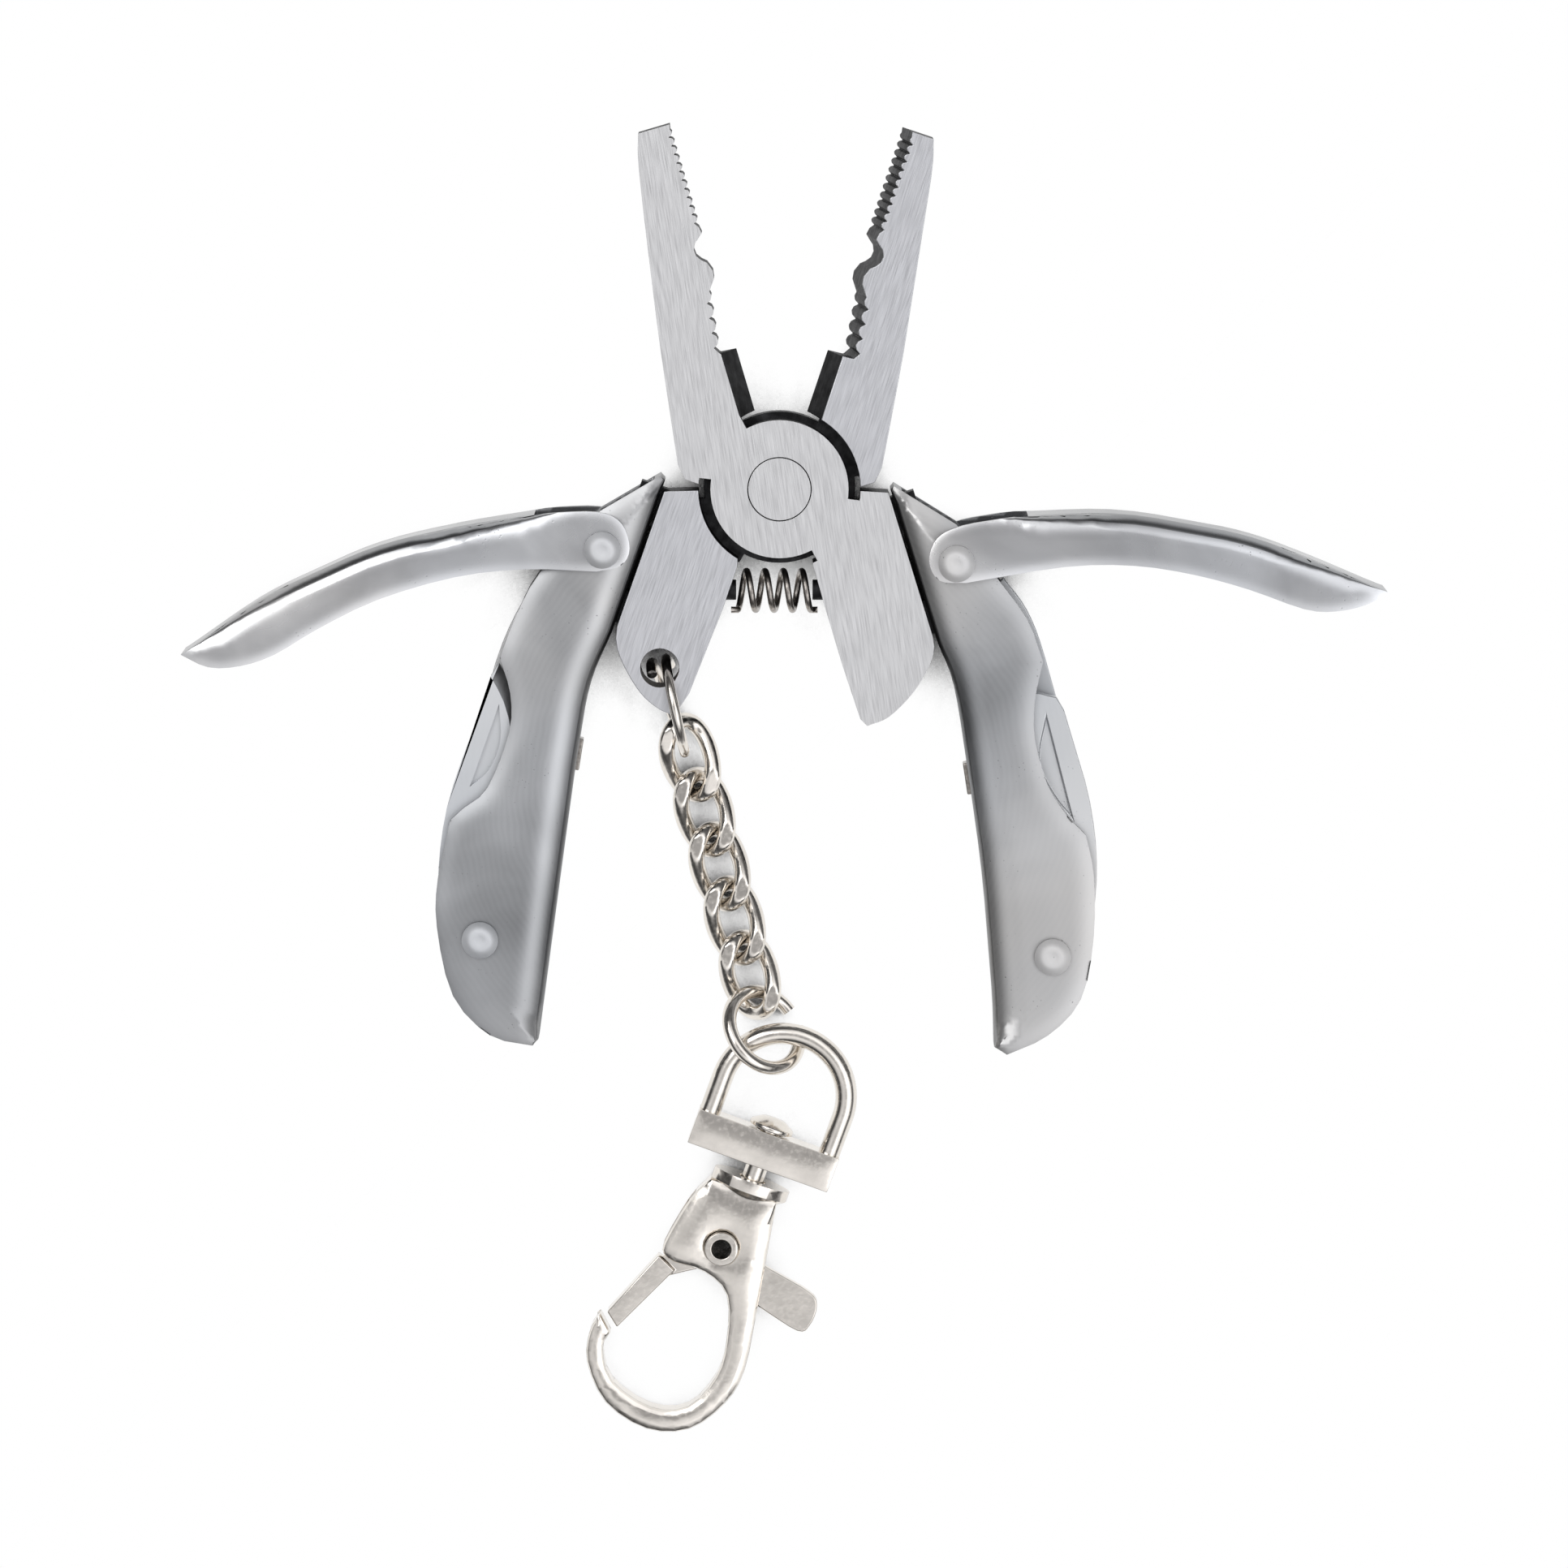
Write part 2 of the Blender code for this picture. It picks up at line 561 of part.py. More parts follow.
def cover(side, material):
    """A curved lever of folded sheet that straddles the handle on the cover rivet."""
    back = spline(side["cover_back"])
    edge = spline(side["cover_edge"], 3)
    end = spline(side["cover_end"])
    fade = [min(1, (len(back) - 1 - i) / 6, 0.2 + i / 5) for i in range(len(back))]
    levels = []
    for share in (90, 60, 30, 0):
        a = math.radians(share)
        inset = COVER_BEND * (1 - math.cos(a)) * side["hand"]
        level = COVER_HALF - COVER_BEND * (1 - math.sin(a))
        bent = [p.lerp(q, weight) for p, q, weight in zip(back, side_step(back, inset), fade)]
        levels.append((level, bent + edge[1:-1] + end[:-1]))
    rings = [(MID - z, points) for z, points in levels] + [(MID + z, points) for z, points in reversed(levels)]
    body = piece(f"{side['name']}_cover", loft(rings), material, (*side["cover_pin"], MID))
    inner = side_step(back, (COVER_SHEET + 0.1) * side["hand"])
    inner = [inner[0].lerp(inner[1], 0.5)] + inner[1:-1] + [inner[-1].lerp(inner[-2], 0.4)]
    rise = Vector((0, HANDLE_WIDTH))
    pin = side["cover_pin"]
    cavity = inner + [inner[-1] - 3 * rise, pin - 3 * rise + Vector((5 * side["hand"], 0)),
                      pin + rise * 2 + Vector((5 * side["hand"], 0)), inner[0] + rise]
    half = COVER_HALF - COVER_SHEET
    cut(body, prism(cavity, MID - half, MID + half))
    drill(body, pin, SHANK_R + FIT, MID - 2 * COVER_HALF, MID + 2 * COVER_HALF)


def rivet(name, pin, seat, material):
    """A rivet with a domed head on each face, seated at the given distance from the middle."""
    dome = [(0, seat + HEAD_HEIGHT), (HEAD_R * 0.55, seat + HEAD_HEIGHT),
            (HEAD_R * 0.84, seat + HEAD_HEIGHT * 0.62), (HEAD_R, seat + HEAD_HEIGHT * 0.2), (HEAD_R, seat)]
    profile = dome + [(SHANK_R, seat), (SHANK_R, -seat)] + [(r, -z) for r, z in reversed(dome)]
    mesh = turned(profile, 24)
    mesh.transform(Matrix.Translation(Vector((*pin, MID)) * MM))
    piece(name, mesh, material, (*pin, MID), smooth=True)


def ring(name, pin, outer, bore, half, level, material):
    profile = [(outer, half), (outer, -half), (bore, -half), (bore, half)]
    mesh = turned(profile, 24, closed=True)
    mesh.transform(Matrix.Translation(Vector((*pin, MID + level)) * MM))
    piece(name, mesh, material, (*pin, MID + level), smooth=True)


def tool_outline(side, back, edge):
    """A flat tool with a round eye on the tool rivet."""
    pin = side["tool_pin"]
    first, last = Vector(back[0]) - pin, Vector(edge[-1]) - pin
    start = math.atan2(last.y, last.x)
    sweep = (math.atan2(first.y, first.x) - start) % (2 * math.pi)
    if side["hand"] > 0:
        sweep -= 2 * math.pi
    eye = [pin + TOOL_EYE_R * Vector((math.cos(a), math.sin(a)))
           for a in (start + sweep * (k + 0.5) / 12 for k in range(12))]
    return eye + spline(back) + spline(edge)[0 if edge[0] != back[-1] else 1:]


def tool(name, side, front, back, edge, material, nick=None, grind=0.0):
    """A folding tool in the front or rear place of its handle."""
    pin = side["tool_pin"]
    level = MID + (TOOL_LEVEL if front else -TOOL_LEVEL)
    low, high = level - TOOL_SHEET / 2, level + TOOL_SHEET / 2
    points = tool_outline(side, back, edge)
    if grind:
        edge_points = spline(edge)[1:]
        plain = len(points) - len(edge_points)
        ground = points[:plain] + [p + Vector((-side["hand"] * grind, 0)) for p in edge_points]
        mesh = loft([(low, ground), (level, points), (high, ground)])
    else:
        mesh = prism(points, low, high)
    body = piece(name, mesh, material, (*pin, level))
    drill(body, pin, SHANK_R + FIT, low - 1, high + 1, 24)
    if nick:
        cut(body, prism(outline(*nick), high - NICK_DEPTH, high + 1))


def jaw_spring(material):
    """An open coil between the tangs, with straight ends along its axis. Prints its least gap to itself."""
    axis = SPRING_RIGHT - SPRING_LEFT
    length = axis.length - 2 * FIT
    coil = length - 2 * SPRING_WIRE
    count = round(SPRING_TURNS * CURL_POINTS)
    points = []
    for k in range(count + 1):
        a = math.pi + 2 * math.pi * k / CURL_POINTS
        points.append(Vector((FIT + SPRING_WIRE + coil * k / count, SPRING_R * math.cos(a), SPRING_R * math.sin(a))))
    points.insert(0, points[0] - Vector((SPRING_WIRE, 0, 0)))
    points.append(points[-1] + Vector((SPRING_WIRE, 0, 0)))
    gaps = [(p - q).length - SPRING_WIRE
            for i, p in enumerate(points) for q in points[i + CURL_POINTS // 2 + 1:]]
    print(f"jaw_spring least gap to itself: {min(gaps):.2f} mm")
    place = Matrix.Translation(Vector((*SPRING_LEFT, MID)) * MM)
    place = place @ Matrix.Rotation(math.atan2(axis.y, axis.x), 4, "Z")
    wire("jaw_spring", points, SPRING_WIRE / 2, material, resolution=1, place=place)


def spring_peg(half, at, inward):
    """The short peg on a tang that keeps the coil in place."""
    mesh = turned([(0, SPRING_PEG), (SPRING_PEG_R, SPRING_PEG), (SPRING_PEG_R, -1.5), (0, -1.5)], 16)
    mesh.transform(Matrix.Rotation(math.radians(90), 4, "Y"))
    if inward < 0:
        mesh.transform(Matrix.Rotation(math.pi, 4, "Z"))
    mesh.transform(Matrix.Translation(Vector((*at, MID)) * MM))
    cut(half, mesh, "UNION")


def chain_direction():
    return turn((0, -1), CHAIN_LEAN)


def link_pitch():
    return LINK_LENGTH - 2 * LINK_WIRE - WIRE_FIT


def chain(material):
    """The key loop, the twisted links and the jump ring."""
    down = chain_direction()
    heading = math.atan2(down.y, down.x)
    centre = KEY_HOLE + down * (LOOP_R - 0.4)
    turns = round(LOOP_TURNS * RING_POINTS)
    points = []
    for k in range(turns + 1):
        share = k / RING_POINTS - LOOP_TURNS / 2
        a = 2 * math.pi * share
        points.append(Vector((LOOP_R * math.cos(a), LOOP_OVERLAP * share, LOOP_R * math.sin(a))))
    place = Matrix.Translation(Vector((*centre, MID - LOOP_SAG)) * MM) @ Matrix.Rotation(heading, 4, "Z")
    wire("key_loop", points, LOOP_WIRE / 2, material, place=place)

    long_half = (LINK_LENGTH - LINK_WIRE) / 2
    wide_half = (LINK_WIDTH - LINK_WIRE) / 2
    oval = []
    for k in range(RING_POINTS):
        a = 2 * math.pi * k / RING_POINTS
        oval.append(Vector((long_half * math.cos(a), wide_half * math.sin(a), LINK_TWIST * math.sin(2 * a))))
    for n in range(LINK_COUNT):
        at = CHAIN_START + down * link_pitch() * n
        rise = math.radians(FIRST_LINK_RISE if n == 0 else 0)
        level = LINK_LEVEL + long_half * math.sin(rise)
        place = Matrix.Translation(Vector((*at, level)) * MM) @ Matrix.Rotation(heading, 4, "Z")
        place = place @ Matrix.Rotation(rise, 4, "Y")
        wire(f"chain_link_{n + 1}", oval, LINK_WIRE / 2, material, cyclic=True, place=place)

    place, gap = jump_ring_frame(), math.radians(JUMP_GAP)
    count = RING_POINTS
    points = []
    for k in range(count + 1):
        a = math.radians(105) + gap / 2 + (2 * math.pi - gap) * k / count
        points.append(Vector((JUMP_R * math.cos(a), JUMP_R * math.sin(a), 0)))
    wire("jump_ring", points, JUMP_WIRE / 2, material, place=place)


def jump_ring_frame():
    """The jump ring's own frame: X runs from the last link towards the clasp."""
    down = chain_direction()
    last = CHAIN_START + down * link_pitch() * (LINK_COUNT - 1)
    seat = last + down * (LINK_LENGTH / 2 - LINK_WIRE - WIRE_FIT - JUMP_SLACK - JUMP_WIRE / 2)
    lean = turn((0, -1), JUMP_LEAN)
    frame = Matrix.Rotation(math.atan2(lean.y, lean.x), 4, "Z")
    frame = frame @ Matrix.Rotation(-math.radians(JUMP_RISE), 4, "Y")
    frame = frame @ Matrix.Rotation(-math.radians(JUMP_TILT), 4, "X")
    centre = Vector((*seat, LINK_LEVEL)) + frame.to_3x3() @ Vector((JUMP_R, 0, 0))
    return Matrix.Translation(centre * MM) @ frame


def clasp_frame():
    """An empty at the middle of the D-ring's bar, with the hook's foot resting on the table."""
    rise = math.radians(CLASP_RISE)
    frame = bpy.data.objects.new("clasp_frame", None)
    bpy.context.collection.objects.link(frame)
    frame.location = Vector((*CLASP_AT, HOOK_HALF + HOOK_DROP * math.sin(rise))) * MM
    frame.rotation_euler = (rise, 0, -math.radians(CLASP_LEAN))
    return frame


def d_ring(frame, material):
    """A round loop on a flat bar that carries the swivel pin."""
    path = [Vector((-D_RING_R, -BAR_HEIGHT / 4, 0)), Vector((-D_RING_R, D_RING_SHOULDER / 2, 0))]
    path += [Vector((0, D_RING_SHOULDER, 0)) + D_RING_R * Vector((-math.cos(a), math.sin(a), 0))
             for a in (math.pi * k / 14 for k in range(15))]
    path += [Vector((-p.x, p.y, 0)) for p in path[1::-1]]
    loop = wire("d_ring_loop", path, D_RING_WIRE / 2, material)
    mesh = bpy.data.meshes.new_from_object(loop)
    bpy.data.objects.remove(loop)
    half = D_RING_R + D_RING_WIRE / 2
    corners = [Vector((-half, -BAR_HEIGHT / 2)), Vector((half, -BAR_HEIGHT / 2)),
               Vector((half, BAR_HEIGHT / 2)), Vector((-half, BAR_HEIGHT / 2))]
    bar = piece("d_ring", prism(corners, -BAR_HALF, BAR_HALF), material, parent=frame)
    cut(bar, mesh, "UNION", frame)
    bore = turned([(0, BAR_HEIGHT), (PIN_R + FIT, BAR_HEIGHT), (PIN_R + FIT, -BAR_HEIGHT), (0, -BAR_HEIGHT)], 24)
    bore.transform(Matrix.Rotation(-math.pi / 2, 4, "X"))
    cut(bar, bore, parent=frame)


def swivel_pin(frame, material):
    """The headed pin that holds the hook on the D-ring's bar and lets it turn."""
    seat = BAR_HEIGHT / 2 + FIT
    foot = COLLAR_TOP - COLLAR_HEIGHT * 0.8
    profile = [(0, seat + PIN_HEAD), (PIN_HEAD_R * 0.55, seat + PIN_HEAD * 0.85), (PIN_HEAD_R, seat + PIN_HEAD * 0.35),
               (PIN_HEAD_R, seat), (PIN_R, seat), (PIN_R, foot), (0, foot)]
    mesh = turned(profile, 24)
    mesh.transform(Matrix.Rotation(-math.pi / 2, 4, "X"))
    piece("swivel_pin", mesh, material, parent=frame, smooth=True)


def hook_body(frame, material):
    """The hook with its collar, two cheeks and the slot that the gate works in."""
    points = outline(HOOK_RIGHT, HOOK_INSIDE, HOOK_LEFT, steps=3)
    levels = []
    for share in (90, 45, 0):
        a = math.radians(share)
        inset = HOOK_ROUND * (1 - math.cos(a))
        levels.append((HOOK_HALF - HOOK_ROUND * (1 - math.sin(a)), inset))
    closed = points[-1:] + points + points[:1]
    rings = [(-z, side_step(closed, -inset)[1:-1]) for z, inset in levels]
    rings += [(z, side_step(closed, -inset)[1:-1]) for z, inset in reversed(levels)]
    body = piece("hook_body", loft(rings), material, parent=frame)
    collar = turned([(0, COLLAR_TOP), (COLLAR_R, COLLAR_TOP), (COLLAR_R, COLLAR_TOP - COLLAR_HEIGHT),
                     (COLLAR_R * 0.6, COLLAR_TOP - 2 * COLLAR_HEIGHT), (0, COLLAR_TOP - 2 * COLLAR_HEIGHT)], 24)
    collar.transform(Matrix.Rotation(-math.pi / 2, 4, "X"))
    collar.transform(Matrix.Diagonal((1, 1, 0.62, 1)))
    cut(body, collar, "UNION", frame)
    bore = turned([(0, 0), (PIN_R + FIT, 0), (PIN_R + FIT, COLLAR_TOP - COLLAR_HEIGHT - FIT),
                   (0, COLLAR_TOP - COLLAR_HEIGHT - FIT)], 24)
    bore.transform(Matrix.Rotation(-math.pi / 2, 4, "X"))
    cut(body, bore, parent=frame)
    slot = [Vector(p) for p in ((-8.0, GATE_SLOT_TOP), (8.0, GATE_SLOT_TOP), (8.0, -14.2), (1.2, -14.2),
                                (1.2, -12.6), (-8.0, -12.6))]
    half = GATE_HALF + FIT
    cut(body, prism(slot, -half, half), parent=frame)
    drill(body, EYELET_AT, EYELET_SHANK + FIT, -HOOK_HALF - 1, HOOK_HALF + 1, 24, frame)


def gate(frame, material):
    """The spring gate: an arm that closes the hook and a thumb lever on the other side of the eyelet."""
    eye = circle(EYELET_AT, GATE_EYE_R, SMALL_ROUND)
    body = piece("gate", prism(eye, -GATE_HALF, GATE_HALF), material, (*EYELET_AT, 0), frame)
    above, below = (EYELET_AT + Vector(p) for p in GATE_LEVER_ROOT)
    lever = [above] + spline(GATE_LEVER) + [below]
    cut(body, prism(lever, -GATE_HALF, GATE_HALF), "UNION", frame)
    arm = [Vector(p) for p in GATE_ARM]
    above, below = (EYELET_AT + Vector(p) for p in GATE_ARM_ROOT)
    root = [above, arm[0].lerp(arm[1], 0.1), arm[3].lerp(arm[2], 0.1), below]
    cut(body, prism(root, -GATE_HALF, GATE_HALF), "UNION", frame)
    cut(body, prism(arm, -GATE_ARM_HALF, GATE_ARM_HALF), "UNION", frame)
    drill(body, EYELET_AT, EYELET_SHANK + FIT, -2, 2, 24, frame)


def eyelet(frame, material):
    """The hollow rivet that the gate turns on."""
    seat = HOOK_HALF + FIT / 2
    top = seat + EYELET_FLANGE
    profile = [(EYELET_BORE, top), (EYELET_R, top), (EYELET_R, seat), (EYELET_SHANK, seat),
               (EYELET_SHANK, -seat), (EYELET_R, -seat), (EYELET_R, -top), (EYELET_BORE, -top)]
    mesh = turned(profile, 24, closed=True)
    mesh.transform(Matrix.Translation(Vector((*EYELET_AT, 0)) * MM))
    piece("eyelet", mesh, material, (*EYELET_AT, 0), frame, smooth=True)


def gate_spring(frame, material):
    """The small leaf above the gate that presses it shut."""
    top = GATE_SLOT_TOP - FIT
    low = top - GATE_SPRING_SHEET
    left, right = GATE_SPRING_ENDS
    corners = [Vector((left, low)), Vector((right, low)), Vector((right, top)), Vector((left, top))]
    piece("gate_spring", prism(corners, -GATE_HALF, GATE_HALF), material, parent=frame)


def build():
    clear_scene()
    brushed = metal("brushed steel plate", (0.62, 0.63, 0.65), 0.38)
    satin = metal("tumbled stainless sheet", (0.56, 0.57, 0.59), 0.42)
    polished = metal("polished stainless sheet", (0.66, 0.67, 0.69), 0.3)
    pale = metal("pale rivet metal", (0.74, 0.75, 0.78), 0.45)
    blade = metal("blade steel", (0.6, 0.62, 0.65), 0.35)
    dark = metal("spring steel", (0.32, 0.3, 0.28), 0.4)
    nickel = metal("nickel plate", (0.72, 0.68, 0.62), 0.22)

    left = {"name": "left", "hand": 1, "spine": LEFT_SPINE, "spine_top": LEFT_SPINE_TOP,
            "open_side": LEFT_OPEN_SIDE, "cover_pin": LEFT_COVER_PIN, "tool_pin": LEFT_TOOL_PIN,
            "cover_back": LEFT_COVER_BACK, "cover_edge": LEFT_COVER_EDGE, "cover_end": LEFT_COVER_END,
            "tang_top": LEFT_TANG_TOP, "tang_inner": LEFT_TANG_INNER, "tang_foot": LEFT_TANG_FOOT}
    right = {"name": "right", "hand": -1, "spine": RIGHT_SPINE, "spine_top": RIGHT_SPINE_TOP,
             "open_side": RIGHT_OPEN_SIDE, "cover_pin": RIGHT_COVER_PIN, "tool_pin": RIGHT_TOOL_PIN,
             "cover_back": RIGHT_COVER_BACK, "cover_edge": RIGHT_COVER_EDGE, "cover_end": RIGHT_COVER_END,
             "tang_top": RIGHT_TANG_TOP, "tang_inner": RIGHT_TANG_INNER, "tang_foot": RIGHT_TANG_FOOT}

    front_half = plier_half("front_jaw_half", True, right, brushed)
    rear_half = plier_half("rear_jaw_half", False, left, brushed)
    drill(rear_half, KEY_HOLE, KEY_HOLE_R, MID - PLATE, MID + PLATE)
    spring_peg(rear_half, SPRING_LEFT, 1)
    spring_peg(front_half, SPRING_RIGHT, -1)
    rivet_mesh = prism(circle(PIVOT, PIVOT_R, 2 * ROUND), MID - PLATE_HALF, MID + PLATE_HALF)
    piece("pivot_rivet", rivet_mesh, brushed, (*PIVOT, MID), smooth=True)
    jaw_spring(dark)

    for side in (left, right):
        name = side["name"]
        handle(side, satin)
        leaf_spring(side, dark)
        cover(side, polished)
        rivet(f"{name}_cover_rivet", side["cover_pin"], COVER_HALF + FIT, pale)
        rivet(f"{name}_tool_rivet", side["tool_pin"], HANDLE_HALF + FIT, pale)
        ring(f"{name}_sleeve", side["cover_pin"], SLEEVE_R, SHANK_R + FIT, CHANNEL_HALF - FIT, 0, satin)
        ring(f"{name}_tool_washer", side["tool_pin"], WASHER_R, SHANK_R + FIT, WASHER_SHEET / 2, 0, satin)

    tool("knife_blade", left, True, KNIFE_BACK, KNIFE_EDGE, blade, KNIFE_NICK, KNIFE_GRIND)
    tool("nail_file", left, False, FILE_BACK, FILE_EDGE, blade)
    tool("bottle_opener", right, True, OPENER_BACK, OPENER_EDGE, blade, OPENER_NICK)
    tool("screwdriver", right, False, DRIVER_BACK, DRIVER_EDGE, blade)

    chain(nickel)
    frame = clasp_frame()
    d_ring(frame, nickel)
    swivel_pin(frame, nickel)
    hook_body(frame, nickel)
    gate(frame, nickel)
    eyelet(frame, nickel)
    gate_spring(frame, dark)
    for obj in bpy.data.objects:
        if obj.parent is None:
            obj.location += PLAN_SHIFT * MM


build()
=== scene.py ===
"""Looks of the folding pocket pliers: rounded steel pieces, a nickel chain and clasp, and a pale stage."""
import json
import math

import bmesh
import bpy
from bpy.props import FloatProperty, FloatVectorProperty, IntProperty, PointerProperty
from mathutils import Euler, Matrix, Vector
from mathutils.kdtree import KDTree


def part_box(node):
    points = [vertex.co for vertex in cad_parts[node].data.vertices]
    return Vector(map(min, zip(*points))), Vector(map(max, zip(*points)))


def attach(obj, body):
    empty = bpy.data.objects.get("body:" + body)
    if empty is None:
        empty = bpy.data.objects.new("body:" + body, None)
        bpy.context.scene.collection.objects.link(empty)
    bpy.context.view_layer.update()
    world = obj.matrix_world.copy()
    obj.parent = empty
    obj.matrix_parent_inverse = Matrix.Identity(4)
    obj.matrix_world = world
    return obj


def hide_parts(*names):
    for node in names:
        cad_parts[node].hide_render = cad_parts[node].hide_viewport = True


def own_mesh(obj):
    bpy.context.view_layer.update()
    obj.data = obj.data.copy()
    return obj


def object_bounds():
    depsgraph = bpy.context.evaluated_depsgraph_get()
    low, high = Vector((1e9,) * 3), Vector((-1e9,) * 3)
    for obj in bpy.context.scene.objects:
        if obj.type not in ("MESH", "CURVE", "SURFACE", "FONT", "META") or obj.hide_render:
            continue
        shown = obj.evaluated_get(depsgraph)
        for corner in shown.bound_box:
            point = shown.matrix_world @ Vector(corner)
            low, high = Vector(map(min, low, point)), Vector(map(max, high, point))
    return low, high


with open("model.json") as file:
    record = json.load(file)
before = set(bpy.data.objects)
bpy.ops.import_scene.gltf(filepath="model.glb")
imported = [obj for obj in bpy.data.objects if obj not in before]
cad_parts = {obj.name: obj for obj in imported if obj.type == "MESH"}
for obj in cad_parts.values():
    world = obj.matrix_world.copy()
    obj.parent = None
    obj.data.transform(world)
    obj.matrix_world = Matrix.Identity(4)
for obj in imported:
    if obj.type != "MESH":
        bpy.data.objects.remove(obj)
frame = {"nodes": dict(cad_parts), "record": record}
CAD_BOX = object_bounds()
NODES = frame["nodes"]
BODY_OF = {node: body for body, nodes in frame["record"]["behaviour"]["bodies"].items() for node in nodes}

bl_info = {
    "name": "Pocket pliers looks",
    "version": (1, 0, 0),
    "blender": (4, 5, 0),
    "location": "3D View > Sidebar > Pocket pliers",
    "description": "Builds the finished pieces of a folding pocket tool round its solids",
    "category": "Object",
}

# Chain
CHAIN_TURN = Matrix.Rotation(math.radians(15.5) - math.pi / 2, 4, "Z")
LINK_STEPS = 96
FIRST_LINK_RISE = math.radians(7.0)
LOOP_AT = (-0.009884, 0.00679, 0.0047)
LOOP_R = 0.0042
LOOP_TURNS = 1.2
LOOP_STEP = 0.00135      # sideways step of the loop in one turn
LOOP_STEPS = 120
RING_R = 0.00365
RING_GAP = math.radians(26.0)
RING_GAP_AT = math.radians(105.0)
RING_STEPS = 96
RING_PLACE = (Matrix.Translation((-0.001755, -0.022011, 0.003235))
              @ Matrix.Rotation(math.radians(-75), 4, "Z")
              @ Matrix.Rotation(math.radians(-24), 4, "Y")
              @ Matrix.Rotation(math.radians(-40), 4, "X"))
WIRE_SHARP = 40          # degrees above which an edge of a wire stays sharp
LINK_SHARP = 30          # the same for a link, which is ground flat

# Clasp
CLASP_PLACE = Matrix.Translation((-0.0018, -0.032598, 0.003013)) @ Euler(
    (math.radians(3), 0, math.radians(-20))).to_matrix().to_4x4()
D_RING_R = 0.0056
D_RING_SHOULDER = 0.005
ARCH_STEPS = 64
BAR_HALF = 0.0016        # half height of the D-ring's bar, along the clasp
BAR_CROWN = (0.0018, 0.00012)   # how far in the bar is crowned, and how far it falls
CUT_BELOW = 0.00001      # the bar's block is cut off this far below its level
CAST_WELD = 0.00006      # shorter edges of a cast piece are closed up, so that its edges can be rounded
HOOK_SHARE = 0.5         # rounding of the clasp's pieces as a share of its main rounding
GATE_SHARE = 0.43
BAR_SHARE = 0.8
PIN_SHARE = 0.3
EYELET_SHARE = 0.4
GATE_SPRING_ROUND = 0.00004

# Rivets
HEAD_SIDES = 64
HEAD_RINGS = 14
SHANK_SIDES = 40
DOME_SLOPE = 1.9         # how soon the dome reaches its full height, from the rim inwards
DIMPLE_SLOPE = 3.0       # head radius over the radius of its setting mark

# Spring
COIL_STEPS = 40          # points in one turn

# Rounding of the edges
EDGE_ANGLE = 32.0        # degrees above which an edge is rounded
CAST_ANGLE = 40.0
BAR_ANGLE = 50.0
PIVOT_SHARE = 0.4        # rounding of the pivot as a share of the plate's
WASHER_SHARE = 0.5       # rounding of a washer as a share of the tools'

# Shaping of the faces
MERGE = 2e-6             # points nearer than this are one
RIM_DEPTH = 0.0003       # faces nearer than this to the outer faces are not side faces, and get no painted shade
GRID = 0.0007            # spacing of the cuts that let a cast face be crowned
FINE_GRID = 0.0004       # spacing of the cuts that let a sheet be drawn
GRID_SHIFT = 0.37        # keeps the cuts off straight edges
CROWN_DEPTH = 0.0016     # depth below an outer face at which its crown has died away
OUTLINE_REACH = 0.0013   # width of the rounded edge round a crowned face
# Lean and reach of the drawn sheet at a bent edge and at a cut edge, and its fall at the outline
HANDLE_DRAW = ((math.radians(46), 0.0034), (math.radians(15), 0.0024), 0.00025)
COVER_DRAW = ((math.radians(27), 0.0024), (math.radians(11), 0.0013), 0.00015)
HANDLE_PIN_REACH = 0.0019   # the sheet stays flat this near to a rivet
COVER_PIN_REACH = 0.0018
BENT_DEPTH = 0.0006      # an outline that lies this deep is a bent edge
NEAR_POINTS = 24         # points of the outline that share in the lean at a place
LEAN_POWER = 1.6
SINK_LEAN = 0.74         # how much the lean follows the bend of the sheet itself

# Stage
TABLE_DROP = 0.0003      # gap between the table and the underside of the tool
SHADOW_RANGE = (0.12, 0.44)     # openness at which the table goes from shaded to white
GAP_RANGE = (0.18, 0.29)        # openness at which a deep gap goes from painted shade to pale
GAP_REACH = 4            # how far a gap is searched for walls, in shadow reaches
# colour share of the painted shade that fills deep gaps
GAP_SHADE_TONE = 0.02
KEY_AT, KEY_SIZE = (-0.35, 0.35, 0.75), 0.5
FILL_AT, FILL_SIZE = (0.5, -0.2, 0.6), 0.6
# Height and level of the studio's bands, from the floor to straight above
SKY_BANDS = ((0.0, 0.5), (0.3, 0.08), (0.55, 0.14), (0.72, 0.9),
             (0.88, 1.3), (0.955, 1.1), (0.99, 0.5), (1.0, 0.45))
SKY_SIDES = (-0.3, 0.3, 0.6, 1.05)     # from left to right, and the share of light there


def colour(label, text, default):
    return FloatVectorProperty(name=label, description=text, subtype="COLOR", size=3, min=0, max=1,
                               default=default)


def length(label, text, default):
    return FloatProperty(name=label, description=text, unit="LENGTH", subtype="DISTANCE", precision=5, min=0,
                         default=default)


